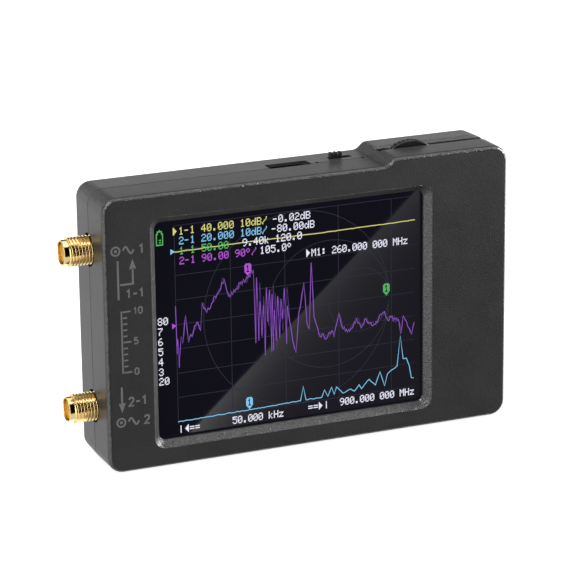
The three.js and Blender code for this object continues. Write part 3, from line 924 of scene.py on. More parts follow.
def build_barrel(name, axis, tip):
    """Threaded bar trimmed to length, with its smooth collar and its bore."""
    start = tip + PORT_COLLAR
    end = FLANGE_X[0] + 0.2
    barrel = helical_thread(name, axis, start, end)
    trim = turned("trim", axis, "x", [
        (start - 0.02, 2.6), (start + 0.3, PORT_THREAD_R + 0.03), (end, PORT_THREAD_R + 0.03),
    ], 64)
    combine(barrel, "INTERSECT", trim)
    join(barrel, turned("collar", axis, "x", [
        (tip, PORT_COLLAR_R - 0.15), (tip + 0.06, PORT_COLLAR_R - 0.05), (tip + 0.18, PORT_COLLAR_R),
        (end - 0.1, PORT_COLLAR_R),
    ], 64))
    cut(barrel, turned("bore", axis, "x", [
        (tip - 0.3, PORT_BORE_R + 0.3), (tip, PORT_BORE_R + 0.12), (tip + 0.1, PORT_BORE_R + 0.02),
        (tip + 0.2, PORT_BORE_R), (tip + PORT_BORE_DEPTH - 0.04, PORT_BORE_R),
        (tip + PORT_BORE_DEPTH, PORT_CORE_R), (end + 1, PORT_CORE_R),
    ], 64))
    return barrel


def build_port(number):
    """Threaded barrel, smooth collar, bored mouth, square flange and four board legs."""
    low, high = case_box(f"port_{number}_body")
    axis = port_axis(number)
    tip = low.x
    barrel = build_barrel(f"port_{number}_barrel", axis, tip)
    half = FLANGE_HALF
    plate = box("plate", FLANGE_X, (axis[1] - half, axis[1] + half), (axis[2] - half, axis[2] + half))
    for dz in LEG_OFFSETS:
        for y in (BOARD_FRONT - 1.2, BOARD_BACK + 0.1):
            z = axis[2] + dz
            leg_x = (FLANGE_X[1] - 0.2, LEG_END)
            join(plate, box("leg", leg_x, (y, y + LEG_THICKNESS), (z, z + LEG_SIDE)))
    soften(plate, 0.08)
    cut(plate, turned("bore", axis, "x", [(0.5, PORT_CORE_R), (5.0, PORT_CORE_R)]))
    join(barrel, plate)
    shade(barrel, 30)
    finish_piece(barrel, "case", "gold_plating", GOLD, f"port_{number}_body")
    build_port_core(number, axis, tip)


def build_port_core(number, axis, tip):
    """White insulator and the slotted socket contact inside a port."""
    mouth = tip + PORT_BORE_DEPTH
    white = turned(f"port_{number}_insulator_turned", axis, "x", [
        (mouth, INSULATOR_BORE_R), (mouth, INSULATOR_R - 0.1), (mouth + 0.1, INSULATOR_R),
        (INSULATOR_END, INSULATOR_R), (INSULATOR_END, INSULATOR_BORE_R),
    ], 48, wrap=True)
    shade(white)
    finish_piece(white, "case", "ptfe", PTFE, f"port_{number}_insulator")
    contact = turned(f"port_{number}_contact_turned", axis, "x", [
        (mouth + 2.5, 0.0), (mouth + 2.3, 0.44), (mouth + 0.12, CONTACT_BORE_R), (mouth, 0.52),
        (mouth, 0.58), (mouth + 0.06, CONTACT_R), (CONTACT_END, CONTACT_R), (CONTACT_END, 0.0),
    ], 32)
    slit = CONTACT_SLIT
    y, z = axis[1:]
    slit_x = (mouth - 0.5, mouth + 1.6)
    cut(
        contact,
        box("slit", slit_x, (y - 1, y + 1), (z - slit, z + slit)),
        box("slit", slit_x, (y - slit, y + slit), (z - 1, z + 1)),
    )
    shade(contact)
    finish_piece(contact, "case", "gold_plating", GOLD, f"port_{number}_contact")


# --- USB socket

def build_usb():
    """Drawn steel shell with a rolled mouth, and the tongue with its row of contacts."""
    low, high = case_box("usb_socket_shell")
    wall = USB_WALL

    def outline(inset, z):
        radius = (high.y - low.y) / 2 - 0.1 - inset
        pairs = rounded_rectangle(
            (low.x + inset, high.x - inset), (low.y + inset, high.y - inset), radius, 8,
        )
        return [(x, y, z) for x, y in pairs]

    rings = [outline(inset, z) for inset, z in (
        (0.0, low.z), (0.0, high.z - 0.12), (0.03, high.z - 0.04), (0.1, high.z),
        (wall - 0.1, high.z), (wall - 0.03, high.z - 0.04), (wall, high.z - 0.12), (wall, low.z),
    )]
    shell = loft("usb_socket_drawn_shell", rings, wrap=True)
    shade(shell)
    finish_piece(shell, "case", "steel", DARK_STEEL, "usb_socket_shell")

    low, high = case_box("usb_socket_tongue")
    middle = ((low.x + high.x) / 2, (low.y + high.y) / 2)
    base = loft("usb_socket_moulded_tongue", [
        [(x, y, z) for x, y in rounded_rectangle((low.x, high.x), (low.y, high.y), 1.05, 6)]
        for z in (low.z, low.z + 1.5)
    ])
    wide, thick = USB_BLADE_HALF
    blade = box("blade", (middle[0] - wide, middle[0] + wide), (middle[1] - thick, middle[1] + thick),
                (low.z + 0.8, high.z))
    soften(blade, 0.12)
    join(base, blade)
    shade(base)
    finish_piece(base, "case", "black_plastic", BLACK, "usb_socket_tongue")
    contacts = []
    first = middle[0] - USB_CONTACT_PITCH * (USB_CONTACTS - 1) / 2
    half_x, half_y = USB_CONTACT_HALF
    zs = [high.z - depth for depth in USB_CONTACT_Z]
    for side in (-1, 1):
        for i in range(USB_CONTACTS):
            x = first + USB_CONTACT_PITCH * i
            y = middle[1] + side * thick
            contacts.append(box("pad", (x - half_x, x + half_x), (y - half_y, y + half_y), zs))
    pads = gather("usb_socket_contacts", contacts)
    shade(pads)
    finish_piece(pads, "case", "gold_plating", GOLD)


# --- top-edge controls

def build_knob():
    """Slide switch knob with three ribs across its top."""
    low, high = case_box("power_switch_knob")
    left, right = low.x + KNOB_SHOULDER, high.x - KNOB_SHOULDER
    pitch = (right - left) / 5
    groove = high.z - KNOB_GROOVE
    foot = low.z + KNOB_STEM_Z
    outline = [(low.x, low.z), (high.x, low.z), (high.x, foot), (right, foot)]
    for step in (4, 2, 0):
        outline += [(left + (step + 1) * pitch, high.z), (left + step * pitch, high.z)]
        if step:
            outline += [(left + step * pitch, groove), (left + (step - 1) * pitch, groove)]
    outline += [(left, foot), (low.x, foot)]
    knob = loft("power_switch_ribbed_knob", [[(x, y, z) for x, z in outline] for y in (low.y, high.y)])
    soften(knob, 0.1)
    shade(knob)
    finish_piece(knob, "power_knob", "black_plastic", BLACK, "power_switch_knob")


def lever_outline(pivot, radius, tooth_depth, per_tooth=8):
    """Fan with a ribbed rim (smooth if the tooth depth is 0), as (x, z) pairs."""
    half_angle = LEVER_HALF_ANGLE
    hub = LEVER_HUB_R
    steps = LEVER_TEETH * per_tooth
    points = []
    for i in range(steps + 1):
        angle = half_angle - 2 * half_angle * i / steps
        wave = math.sin(math.pi * (i % per_tooth) / per_tooth) ** 1.5
        rim = radius - tooth_depth * wave
        points.append((pivot[0] + rim * math.sin(angle), pivot[1] + rim * math.cos(angle)))
    for i in range(13):
        angle = -half_angle - math.pi / 2 - (math.pi - 2 * half_angle) * i / 12
        points.append((pivot[0] + hub * math.sin(angle), pivot[1] + hub * math.cos(angle)))
    return points


def inset_outline(points, distance):
    """Moves each point of an outline inwards along its mean normal."""
    count = len(points)
    area = sum(points[i][0] * points[(i + 1) % count][1] - points[(i + 1) % count][0] * points[i][1]
               for i in range(count))
    side = 1 if area > 0 else -1
    moved = []
    for i in range(count):
        before, after = points[i - 1], points[(i + 1) % count]
        dx, dz = after[0] - before[0], after[1] - before[1]
        length = math.hypot(dx, dz) or 1.0
        moved.append((points[i][0] - side * dz / length * distance,
                      points[i][1] + side * dx / length * distance))
    return moved


def build_lever():
    """Fan-shaped thumb lever with a ribbed rim and rounded edges."""
    low, high = case_box("jog_lever")
    pivot = ((low.x + high.x) / 2, low.z + LEVER_HUB_R)
    radius = high.z - pivot[1]
    rings = []
    for y, drop, inset, tooth in (
        (low.y, 0.20, 0.12, 0.0), (low.y + 0.05, 0.12, 0.04, 0.0), (low.y + 0.14, 0.08, 0.0, 0.0),
        (low.y + 0.34, 0.06, 0.0, 0.0), (low.y + 0.42, 0.0, 0.0, LEVER_TOOTH),
        (high.y - 0.3, 0.0, 0.0, LEVER_TOOTH), (high.y - 0.14, 0.12, 0.0, 0.0),
        (high.y, 0.25, 0.12, 0.0),
    ):
        outline = lever_outline(pivot, radius - drop, tooth)
        rings.append([(x, y, z) for x, z in inset_outline(outline, inset)])
    lever = loft("jog_lever_ribbed", rings)
    hole = [(low.y - 1, LEVER_PIN_R), (high.y + 1, LEVER_PIN_R)]
    cut(lever, turned("pin_hole", (pivot[0], 0.0, pivot[1]), "y", hole, 32))
    shade(lever, 40)
    finish_piece(lever, "lever", "black_plastic", BLACK, "jog_lever")


# --- display content

GLYPHS = {
    "0": "01110 10001 10011 10101 11001 10001 01110",
    "1": "00100 01100 00100 00100 00100 00100 01110",
    "2": "01110 10001 00001 00110 01000 10000 11111",
    "3": "01110 10001 00001 00110 00001 10001 01110",
    "4": "00010 00110 01010 10010 11111 00010 00010",
    "5": "11111 10000 11110 00001 00001 10001 01110",
    "6": "00110 01000 10000 11110 10001 10001 01110",
    "7": "11111 00001 00010 00100 01000 01000 01000",
    "8": "01110 10001 10001 01110 10001 10001 01110",
    "9": "01110 10001 10001 01111 00001 00010 01100",
    ".": "00000 00000 00000 00000 00000 01100 01100",
    ":": "00000 01100 01100 00000 01100 01100 00000",
    "-": "00000 00000 00000 11110 00000 00000 00000",
    "/": "00001 00001 00010 00100 01000 10000 10000",
    "d": "00001 00001 01101 10011 10001 10011 01101",
    "B": "11110 10001 10001 11110 10001 10001 11110",
    "k": "10000 10000 10010 10100 11000 10100 10010",
    "H": "10001 10001 10001 11111 10001 10001 10001",
    "z": "00000 00000 11111 00010 00100 01000 11111",
    "M": "10001 11011 10101 10101 10001 10001 10001",
    "*": "01100 10010 10010 01100 00000 00000 00000",
    ">": "10000 11000 11100 11110 11100 11000 10000",
    "|": "00100 00100 00100 00100 00100 00100 00100",
    "<": "00001 00011 00111 01111 00111 00011 00001",
    "=": "00000 00000 11111 00000 11111 00000 00000",
}
MARKER = "0111110 1110111 1100111 1110111 1110111 1110111 1100011 0111110 0011100 0001000"
BATTERY = (
    "0001000 0111110 0100010 1100011 1000001 1000001 1000001 1000001 1001101 1000001 "
    "1001101 1000001 1111111"
)

# Layers of the display content, front to back, just in front of the glass.
TEXT_Y = (2.455, 2.470)
TRACE_Y = (2.472, 2.480)
GHOST_Y = (2.482, 2.487)
GRID_Y = (2.488, 2.496)

# Feet of the four lines of readings, where they begin, and the figures left of the grid.
TEXT_ROWS = (49.05, 46.95, 44.8, 42.65)
TEXT_X = 17.9
SCALE_X = 12.8
SCALE_FIGURES = (("80", 30.0), ("7", 27.8), ("6", 25.6), ("5", 23.4), ("4", 21.2), ("3", 19.0),
                 ("20", 16.9))

# Width of a character with its gap, and the size of one dot of a character.
CELL = 1.24
NARROW_CELL = 1.18
COLUMN = 0.205
ROW = 0.235


def bitmap_blocks(bitmap, x, top, column, row):
    """Blocks (x range, z range) for the lit runs of a bitmap whose rows are separated by spaces."""
    blocks = []
    for line, cells_in_row in enumerate(bitmap.split()):
        start = None
        for i, cell in enumerate(cells_in_row + "0"):
            if cell == "1" and start is None:
                start = i
            if cell == "0" and start is not None:
                z = top - line * row
                blocks.append(((x + start * column, x + i * column), (z - row * 0.97, z)))
                start = None
    return blocks


def text_blocks(text, x, base, cell=CELL):
    """Blocks for a line of text whose first cell starts at x and whose feet stand on base."""
    blocks = []
    for i, letter in enumerate(text):
        if letter != " ":
            blocks += bitmap_blocks(GLYPHS[letter], x + i * cell, base + 7 * ROW, COLUMN, ROW)
    return blocks


def block_mesh(blocks, ys):
    """Points and faces of separate flat blocks."""
    points, faces = [], []
    for xs, zs in blocks:
        start = len(points)
        for y in ys:
            points += [(x, y, z) for x, z in rectangle(xs, zs)]
        faces += [tuple(start + i for i in face) for face in (
            (0, 1, 2, 3), (7, 6, 5, 4), (0, 4, 5, 1), (1, 5, 6, 2), (2, 6, 7, 3), (3, 7, 4, 0),
        )]
    return points, faces


def ribbon_mesh(path, width, ys, closed=False):
    """Points and faces of a flat line of constant width along a path of (x, z) points."""
    count = len(path)
    points, faces = [], []
    for i, (x, z) in enumerate(path):
        before = path[i - 1] if i or closed else path[i]
        after = path[(i + 1) % count] if i < count - 1 or closed else path[i]
        first = Vector((x - before[0], z - before[1]))
        second = Vector((after[0] - x, after[1] - z))
        first = first.normalized() if first.length else second.normalized()
        second = second.normalized() if second.length else first
        side = Vector((-(first.y + second.y), first.x + second.x))
        if side.length < 0.2:
            side = Vector((-first.y, first.x))
        side.normalize()
        reach = width / 2 / max(0.6, side.dot(Vector((-first.y, first.x))))
        for y in ys:
            points.append((x + side.x * reach, y, z + side.y * reach))
            points.append((x - side.x * reach, y, z - side.y * reach))
    spans = count if closed else count - 1
    for i in range(spans):
        a, b = 4 * i, 4 * ((i + 1) % count)
        faces += [(a, b, b + 1, a + 1), (a + 2, a + 3, b + 3, b + 2),
                  (a, a + 2, b + 2, b), (a + 1, b + 1, b + 3, a + 3)]
    if not closed:
        end = 4 * (count - 1)
        faces += [(0, 1, 3, 2), (end, end + 2, end + 3, end + 1)]
    return points, faces


def merged(parts):
    """Several (points, faces) pairs as one."""
    points, faces = [], []
    for more_points, more_faces in parts:
        start = len(points)
        points += more_points
        faces += [tuple(start + i for i in face) for face in more_faces]
    return points, faces


def on_grid(across, up):
    """A point of the graph from its shares of the grid's width and height, in percent."""
    return (GRID_X[0] + (GRID_X[1] - GRID_X[0]) * across / 100,
            GRID_Z[0] + (GRID_Z[1] - GRID_Z[0]) * up / 100)


def noisy(turns, spacing, shake, source):
    """A drawn curve through its turning points with small seeded noise between them."""
    path = []
    for (x0, z0), (x1, z1) in zip(turns, turns[1:]):
        count = max(1, int(abs(x1 - x0) / spacing))
        for i in range(count):
            t = i / count
            sway = source.uniform(-shake, shake) if i else 0.0
            path.append((x0 + (x1 - x0) * t, z0 + (z1 - z0) * t + sway))
    path.append(turns[-1])
    return [on_grid(*point) for point in path]


def phase_turns(source):
    """Turning points of the phase curve: a noisy climb, a burst of full swings, a calm tail."""
    climb = [(0, 68), (0.3, 40), (0.6, 49), (1, 32), (2, 50), (2.6, 46), (4, 62), (5, 46), (8.5, 57),
             (10, 52), (10.8, 68), (12.6, 62), (14.7, 67), (17, 72), (20, 80), (21, 73), (22, 70),
             (26.5, 76), (29.7, 79), (32, 83)]
    burst = []
    x = 32.6
    while x < 46:
        burst.append((x, source.uniform(30, 52)))
        x += source.uniform(0.35, 0.9)
        burst.append((x, source.uniform(62, 80) - 0.6 * (x - 33)))
        x += source.uniform(0.35, 0.9)
    late = [(46.8, 50), (48, 38), (49.3, 31), (50.6, 54), (52.9, 72), (54, 48), (55, 44), (56, 83),
            (57, 51), (59, 40), (62.4, 37), (64.4, 41), (65.4, 37), (67.5, 51), (69.3, 41),
            (72, 39), (75, 46), (77, 40), (79, 45), (82.5, 41), (87, 48), (88, 44), (93, 42),
            (94, 33), (95, 44), (97, 37), (98.7, 32), (99.8, 39)]
    return climb + burst + late


GAIN_TURNS = [
    (0, 0), (26, 0.8), (51, 1.6), (52.2, 10), (53.3, 1.7), (60, 1.8), (61.2, 6), (62.6, 1.8), (64.2, 7),
    (65.3, 2.4), (66.3, 6.8), (69, 2.4), (72.4, 4.2), (74, 2.6), (76, 6), (77, 3.4), (80.3, 8.4),
    (83, 4.4), (85, 12), (87, 3), (88.2, 10), (90, 12), (92.4, 14), (93.8, 32), (95, 18), (96.4, 18),
    (97.7, 13), (98.6, 5.6), (99.6, 5.2),
]
LEVEL_TURNS = [(0, 99.4), (30, 99.9), (60, 99.6), (100, 100.3)]


def circle_points(cx, cz, radius, start, end, steps=48):
    angles = [math.radians(start + (end - start) * i / steps) for i in range(steps + 1)]
    return [(cx + radius * math.cos(a), cz + radius * math.sin(a)) for a in angles]


def grid_mesh():
    """Faint grid of the graph with the circles of an impedance chart behind it."""
    line = GRID_LINE
    parts = []
    for i in range(5):
        x = GRID_X[0] + GRID_COLUMN * i
        parts.append(block_mesh([((x, x + line), (GRID_Z[0] - 0.5, GRID_TOP))], GRID_Y))
    for i in range(9):
        z = GRID_Z[0] + (GRID_Z[1] - GRID_Z[0]) / 7 * i
        parts.append(block_mesh([(GRID_X, (z, z + line))], GRID_Y))
    cx, cz = CHART_CENTRE
    for share in (1.0, 0.66, 0.33):
        path = circle_points(cx + CHART_R * (1 - share), cz, CHART_R * share, 0, 352)
        parts.append(ribbon_mesh(path, line, (GRID_Y[0] - 0.001, GRID_Y[1] - 0.001)))
    return merged(parts)


def screen_piece(name, parts, colour, strength):
    """One colour of the display content as a glowing piece."""
    points, faces = merged(parts)
    across, up = CONTENT_SHIFT
    piece = make_object(name, [(x + across, y, z + up) for x, y, z in points], faces)
    material = lit_pixels(name + "_glow", colour, strength)
    return finish_piece(piece, "case", "screen_image", material)


def screen_text(lines, cell=CELL):
    """Lines of text, each given as (text, x of its first cell, z of its feet)."""
    blocks = []
    for text, x, base in lines:
        blocks += text_blocks(text, x, base, cell)
    return block_mesh(blocks, TEXT_Y)


def marker(x, tip):
    """Small numbered flag whose point touches a curve."""
    column, row = 0.22, 0.27
    return block_mesh(bitmap_blocks(MARKER, x - 3.5 * column, tip + 10 * row, column, row), TEXT_Y)


def triangle_mesh(corners, ys):
    """Points and faces of a flat triangle with three (x, z) corners."""
    points = [(x, y, z) for y in ys for x, z in corners]
    return points, [(0, 1, 2), (5, 4, 3), (0, 3, 4, 1), (1, 4, 5, 2), (2, 5, 3, 0)]


def pointer(x, z, size=0.62):
    """Small triangle at the grid's left edge that marks a curve's reference level."""
    base = x - size * 1.5
    return triangle_mesh([(base, z - size), (x, z), (base, z + size)], TEXT_Y)


def build_display():
    """Readouts, curves and grid. The wording is only numbers and units."""
    source = random.Random(11)
    phase = noisy(phase_turns(source), 0.45, 1.6, source)
    ghost = noisy(phase_turns(source), 0.45, 2.2, source)
    gain = noisy(GAIN_TURNS, 0.7, 0.25, source)
    level = noisy(LEVEL_TURNS, 1.5, 0.15, source)

    yellow = [screen_text([(">", 16.6, TEXT_ROWS[0]), ("1-1 40.000 10dB/", TEXT_X, TEXT_ROWS[0])]),
              ribbon_mesh(level, 0.19, TRACE_Y)]
    blue = [screen_text([("2-1 20.000 10dB/", TEXT_X, TEXT_ROWS[1])]),
            ribbon_mesh(gain, 0.18, TRACE_Y), marker(33.0, 8.75), pointer(16.9, 45.6)]
    green = [screen_text([("1-1 50.00", TEXT_X, TEXT_ROWS[2])]), marker(64.9, 29.8),
             block_mesh(bitmap_blocks(BATTERY, 12.85, 50.6, 0.225, 0.26), TEXT_Y)]
    violet = [screen_text([("2-1 90.00 90*/", TEXT_X, TEXT_ROWS[3])]), marker(33.1, 38.3),
              pointer(16.9, 29.5)]
    readings = zip(("-0.02dB", "-80.00dB", "9.40k 120.0", "105.0*"), (38.9, 38.6, 32.0, 35.9), TEXT_ROWS)
    white = [
        screen_text(readings),
        screen_text([(">M1: 260.000 000 MHz", 46.4, 40.7), ("50.000 kHz", 29.1, 5.95),
                     ("900.000 000 MHz", 53.9, 6.45)], NARROW_CELL),
        screen_text([("|<==", 16.9, 5.8), ("==>|", 46.5, 6.3)]
                    + [(figure, SCALE_X, z) for figure, z in SCALE_FIGURES]),
    ]
    screen_piece("screen_grid", [grid_mesh()], (0.013, 0.013, 0.034), 1.0)
    screen_piece("screen_readout_yellow", yellow, (0.80, 0.76, 0.22), 1.0)
    screen_piece("screen_readout_blue", blue, (0.22, 0.58, 0.88), 1.1)
    screen_piece("screen_readout_green", green, (0.09, 0.50, 0.12), 1.0)
    screen_piece("screen_readout_violet", violet, (0.46, 0.08, 0.66), 1.1)
    screen_piece("screen_curve_violet", [ribbon_mesh(phase, 0.17, TRACE_Y)], (0.25, 0.075, 0.50), 1.1)
    screen_piece("screen_curve_fading", [ribbon_mesh(ghost, 0.15, GHOST_Y)], (0.075, 0.030, 0.18), 1.0)
    screen_piece("screen_readout_white", white, (0.86, 0.86, 1.0), 1.1)


# --- printed marks

INK_Y = (0.03, -0.012)
SCALE_FOOT = 22.1
SCALE_STEP = 1.31

# Strokes of the printed figures, as shares of their height.
FIGURES = {
    "0": [(0.0, 0.2), (0.0, 0.8), (0.16, 1.0), (0.44, 1.0), (0.6, 0.8), (0.6, 0.2), (0.44, 0.0),
          (0.16, 0.0), (0.02, 0.17)],
    "1": [(0.08, 0.76), (0.34, 1.0), (0.34, 0.0)],
    "2": [(0.02, 0.76), (0.14, 0.95), (0.3, 1.0), (0.48, 0.95), (0.58, 0.76), (0.5, 0.52), (0.0, 0.0),
          (0.62, 0.0)],
    "5": [(0.56, 1.0), (0.06, 1.0), (0.04, 0.56), (0.3, 0.64), (0.52, 0.54), (0.6, 0.32), (0.5, 0.08),
          (0.28, 0.0), (0.0, 0.1)],
    "-": [(0.06, 0.46), (0.54, 0.46)],
}


def printed_figures(text, x, z, height, pitch, width=0.4):
    """Figures drawn with one stroke each; the lower left corner of the first is at x, z."""
    parts = []
    for i, figure in enumerate(text):
        half = width / 2
        reach = height - width
        path = [(x + half + i * pitch + u * reach, z + half + v * reach) for u, v in FIGURES[figure]]
        parts.append(ribbon_mesh(path, width, INK_Y))
    return merged(parts)


def ink_wave(x, z, length=2.3, height=0.75, steps=12):
    """One period of a sine wave, the generic sign for a signal."""
    path = [(x + length * i / steps, z + height * math.sin(2 * math.pi * i / steps))
            for i in range(steps + 1)]
    return ribbon_mesh(path, 0.4, INK_Y)


def ink_line(path, width=0.42):
    return ribbon_mesh(path, width, INK_Y)


def ink_ring(cx, cz, radius, width=0.36):
    path = circle_points(cx, cz, radius, 0, 345, 23)
    return ribbon_mesh(path, width, INK_Y, closed=True)


def ink_arrow(x, base, tip):
    """Arrow head with a straight base."""
    half = 0.75
    return triangle_mesh([(x - half, base), (x + half, base), (x, tip)], INK_Y)


def port_sign(x, z):
    """A coaxial socket seen from the front, and the wave sign beside it."""
    return [ink_ring(x, z, 0.9), ink_ring(x, z, 0.17, 0.34), ink_wave(x + 1.6, z)]


def build_marks():
    """Port numbers, signal arrows and a level scale, printed on the strip left of the screen."""
    parts = [
        *port_sign(2.7, 48.3), printed_figures("1", 7.6, 47.2, 2.2, 0.0),
        ink_line([(3.1, 46.2), (3.1, 37.9)]),
        ink_line([(3.5, 41.05), (6.3, 41.05), (6.3, 44.4)]), ink_arrow(6.3, 44.2, 46.3),
        printed_figures("1-1", 4.6, 37.9, 2.1, 1.4),
        ink_line([(3.2, 19.0), (3.2, 15.4)]), ink_arrow(3.2, 15.5, 13.4),
        printed_figures("2-1", 4.5, 14.5, 2.2, 1.45),
        *port_sign(2.9, 11.3), printed_figures("2", 7.8, 10.2, 2.2, 0.0),
        ink_line([(3.6, 21.9), (3.6, 35.4)], 0.34),
    ]
    for i in range(11):
        z = SCALE_FOOT + SCALE_STEP * i
        reach = 1.7 if i % 5 == 0 else 0.9
        parts.append(ink_line([(3.9, z), (3.9 + reach, z)], 0.34))
    for text, z in (("0", 21.3), ("5", 27.9), ("10", 34.4)):
        parts.append(printed_figures(text, 6.1, z, 1.6, 1.1, 0.3))
    points, faces = merged(parts)
    marks = make_object("printed_marks", points, faces)
    return finish_piece(marks, "case", "white_plastic", INK)


# --- studio

FLOOR_Z = -0.02
FLOOR_MIDDLE = (46, 9)
FLOOR_HALF = 2500

# The glare card stands in the plane y = GLARE_CARD_Y; its bright edge runs between two (x, z)
# points, and its glow falls off over the two fade lengths.
GLARE_CARD_Y = -100.0
GLARE_EDGE = (Vector((56.1, -35.3)), Vector((119.4, 21.2)))
GLARE_CARD_DEPTH = 90
GLARE_CARD_OVERHANG = 25
GLARE_FADE_ACROSS = 6.5
GLARE_FADE_ALONG = 22.0

WHITE_LIGHT = (1.0, 1.0, 1.0, 1.0)
CAMERA_TARGET = (44.55, 9.3, 32.5)
CAMERA_AZIMUTH = 22.68
CAMERA_ELEVATION = 17.2
CAMERA_DISTANCE = 623.0
CAMERA_ROLL = -0.66
CAMERA_LENS = 182.7


def build_camera():
    """Long lens from the left, slightly above."""
    azimuth = math.radians(CAMERA_AZIMUTH)
    elevation = math.radians(CAMERA_ELEVATION)
    back = Vector((
        -math.sin(azimuth) * math.cos(elevation), -math.cos(azimuth) * math.cos(elevation),
        math.sin(elevation),
    ))
    data = bpy.data.cameras.new("camera")
    data.sensor_width = 36.0
    data.lens = CAMERA_LENS
    data.clip_start = 0.01
    data.clip_end = 20.0
    camera = link_object("camera", data)
    camera.location = place(CAMERA_TARGET) + back * CAMERA_DISTANCE * MM
    camera.rotation_mode = "QUATERNION"
    roll = Quaternion((0.0, 0.0, 1.0), math.radians(CAMERA_ROLL))
    camera.rotation_quaternion = (-back).to_track_quat("-Z", "Y") @ roll
    bpy.context.scene.camera = camera


def smooth_step(tree, value, start, end):
    made = add_node(
        tree, "ShaderNodeMapRange", {"interpolation_type": "SMOOTHSTEP"}, Value=value,
        From_Min=start, From_Max=end,
    )
    return made.outputs["Result"]


def build_world():
    """White paper to the camera; to the part, brighter and darker panels all round it."""
    world = bpy.data.worlds.new("studio")
    bpy.context.scene.world = world
    world.use_nodes = True
    tree = world.node_tree
    tree.nodes.clear()
    direction = add_node(tree, "ShaderNodeTexCoord").outputs["Generated"]
    parts = add_node(tree, "ShaderNodeSeparateXYZ", Vector=direction)
    across, along, up = (parts.outputs[axis] for axis in "XYZ")

    def panel(brightness, *edges):
        """A panel bounded by soft edges, each (coordinate, where it is dark, where it is full)."""
        glow = brightness
        for value, start, end in edges:
            glow = arithmetic(tree, "MULTIPLY", smooth_step(tree, value, start, end), glow)
        return glow

    behind, in_front = (along, -0.06, 0.12), (along, 0.12, -0.06)
    panels = (
        panel(0.9, behind, (up, 0.06, -0.06), (across, 0.15, -0.15)),
        panel(1.8, behind, (up, 0.06, -0.06), (across, -0.15, 0.15)),
        panel(1.3, behind, (up, -0.06, 0.06), (up, 0.26, 0.14)),
        panel(0.2, behind, (up, 0.14, 0.26), (up, 0.46, 0.34)),
        panel(1.25, behind, (up, 0.64, 0.76)),
        panel(1.15, in_front, (across, -0.35, -0.8)),
        panel(2.6, in_front, (across, 0.70, 0.92)),
        panel(0.75, in_front, (up, -0.37, -0.44)),
        panel(2.0, in_front, (up, 0.87, 0.93)),
    )
    strength = panels[0]
    for glow in panels[1:]:
        strength = arithmetic(tree, "ADD", strength, glow)
    lighting = add_node(tree, "ShaderNodeBackground", Color=WHITE_LIGHT, Strength=strength)
    paper = add_node(tree, "ShaderNodeBackground", Color=WHITE_LIGHT, Strength=1.0)
    seen = add_node(tree, "ShaderNodeLightPath").outputs["Is Camera Ray"]
    mixed = tree.nodes.new("ShaderNodeMixShader")
    tree.links.new(seen, mixed.inputs[0])
    tree.links.new(lighting.outputs["Background"], mixed.inputs[1])
    tree.links.new(paper.outputs["Background"], mixed.inputs[2])
    add_node(tree, "ShaderNodeOutputWorld", Surface=mixed.outputs["Shader"])


def softbox(name, position, size, power):
    """A rectangular light of so many watts, aimed at the middle of the case."""
    data = bpy.data.lights.new(name, "AREA")
    data.shape = "RECTANGLE"
    data.size, data.size_y = (side * MM for side in size)
    data.energy = power
    light = link_object(name, data)
    light.location = place(position)
    aim = place((CASE_W / 2, CASE_D / 2, CASE_H / 2)) - light.location
    light.rotation_mode = "QUATERNION"
    light.rotation_quaternion = aim.to_track_quat("-Z", "Y")
    return light


def light_only(light, names):
    """Keeps a light off everything but the named pieces, as flags and gobos do in a studio."""
    receivers = bpy.data.collections.new(light.name + "_receivers")
    for name in names:
        receivers.objects.link(bpy.data.objects[name])
    light.light_linking.receiver_collection = receivers


def sheet(name, corners):
    """A single flat face for the studio, from its corners in case coordinates."""
    mesh = bpy.data.meshes.new(name)
    mesh.from_pydata([place(corner) for corner in corners], [], [(0, 1, 2, 3)])
    return link_object(name, mesh)


def hide_from(obj, *rays):
    for ray in rays:
        setattr(obj, "visible_" + ray, False)


def build_floor():
    """Pale floor, bright enough to keep only a trace of the contact shadow."""
    half = FLOOR_HALF
    x, y = FLOOR_MIDDLE
    corners = rectangle((x - half, x + half), (y - half, y + half))
    floor = sheet("floor", [(*corner, FLOOR_Z) for corner in corners])
    material, tree = new_material("pale_floor")
    surface(
        material,
        Base_Color=blend_colours(tree, noise(tree, 40.0), (0.78, 0.78, 0.78), (0.80, 0.80, 0.80)),
        Roughness=0.9,
        Emission_Color=WHITE_LIGHT,
        Emission_Strength=0.8,
    )
    floor.data.materials.append(material)
    hide_from(floor, "glossy", "diffuse", "transmission", "shadow")


def fading(tree, offset, direction, length):
    """Falls off from 1 along a direction of the card, over a length in millimetres."""
    dot = add_node(tree, "ShaderNodeVectorMath", {"operation": "DOT_PRODUCT"})
    tree.links.new(offset, dot.inputs[0])
    dot.inputs[1].default_value = (direction.x, 0.0, direction.y)
    distance = arithmetic(tree, "MAXIMUM", dot.outputs["Value"], 0.0)
    return arithmetic(tree, "EXPONENT", arithmetic(tree, "MULTIPLY", distance, -1 / (length * MM)))


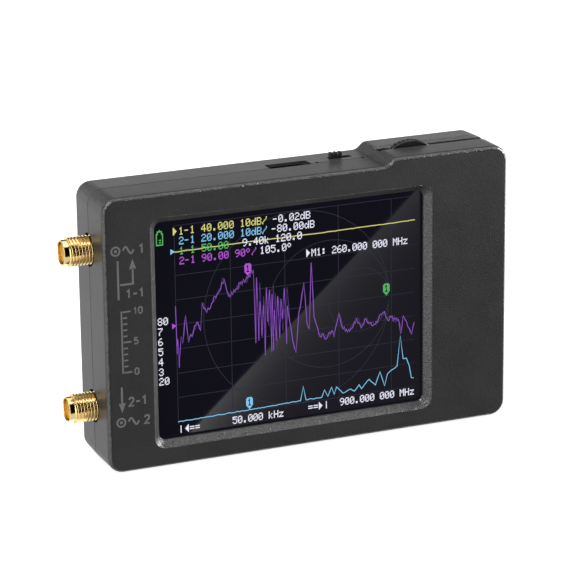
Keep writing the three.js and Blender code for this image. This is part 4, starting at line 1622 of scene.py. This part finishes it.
def build_glare_card():
    """A bright card low in front, seen only in the glass as a slanted band of glare."""
    start, end = GLARE_EDGE
    along = (end - start).normalized()
    across = Vector((along.y, -along.x))
    first = start - along * GLARE_CARD_OVERHANG
    last = end + along * GLARE_CARD_OVERHANG
    far = across * GLARE_CARD_DEPTH
    corners = (first, last, last + far, first + far)
    card = sheet("glare_card", [(corner.x, GLARE_CARD_Y, corner.y) for corner in corners])
    material, tree = new_material("glare_glow")
    coordinates = add_node(tree, "ShaderNodeTexCoord").outputs["Object"]
    origin = place((start.x, GLARE_CARD_Y, start.y))
    offset = add_node(
        tree, "ShaderNodeMapping", {"vector_type": "POINT"}, Vector=coordinates, Location=-origin,
    ).outputs["Vector"]
    beside = fading(tree, offset, across, GLARE_FADE_ACROSS)
    lengthwise = fading(tree, offset, along, GLARE_FADE_ALONG)
    band = arithmetic(tree, "ADD", arithmetic(tree, "MULTIPLY", lengthwise, 0.70), 0.24)
    strength = arithmetic(tree, "ADD", arithmetic(tree, "MULTIPLY", band, beside), 0.06)
    glow = add_node(tree, "ShaderNodeEmission", Color=WHITE_LIGHT, Strength=strength)
    add_node(tree, "ShaderNodeOutputMaterial", Surface=glow.outputs["Emission"])
    card.data.materials.append(material)
    hide_from(card, "camera", "diffuse", "shadow", "transmission")


# Position and size in millimetres and power in watts of each light.
OPEN_LIGHTS = {
    "left_softbox": ((-560.0, -190.0, -20.0), (420.0, 520.0), 1.7),
    "front_fill": ((420.0, -420.0, 40.0), (220.0, 220.0), 0.32),
}
FLAGGED_LIGHTS = {
    "edge_light": ((290.0, -130.0, 640.0), (220.0, 220.0), 1.15),
    "corner_light": ((640.0, -60.0, 215.0), (200.0, 200.0), 9.5),
    "high_light": ((-318.0, -199.0, 524.0), (170.0, 170.0), 5.0),
}
MOULDINGS = (
    "front_shell_moulding", "rear_shell_moulding", "jog_lever_ribbed", "power_switch_ribbed_knob",
)


def build_studio():
    """Camera, backdrop and lights; the flagged lights reach nothing but the black mouldings."""
    build_camera()
    build_world()
    build_floor()
    build_glare_card()
    for name, values in OPEN_LIGHTS.items():
        softbox(name, *values)
    for name, values in FLAGGED_LIGHTS.items():
        light_only(softbox(name, *values), MOULDINGS)
    bpy.context.scene.view_settings.view_transform = "Standard"


# --- assembly

paint_cad_nodes()
build_front_shell()
build_rear_shell()
for index, (screw_x, screw_z) in enumerate(at_screws(lambda x, z: (x, z)), 1):
    build_screw(index, screw_x, screw_z)
for port in (1, 2):
    build_port(port)
build_usb()
build_knob()
build_lever()
build_display()
build_marks()
build_studio()
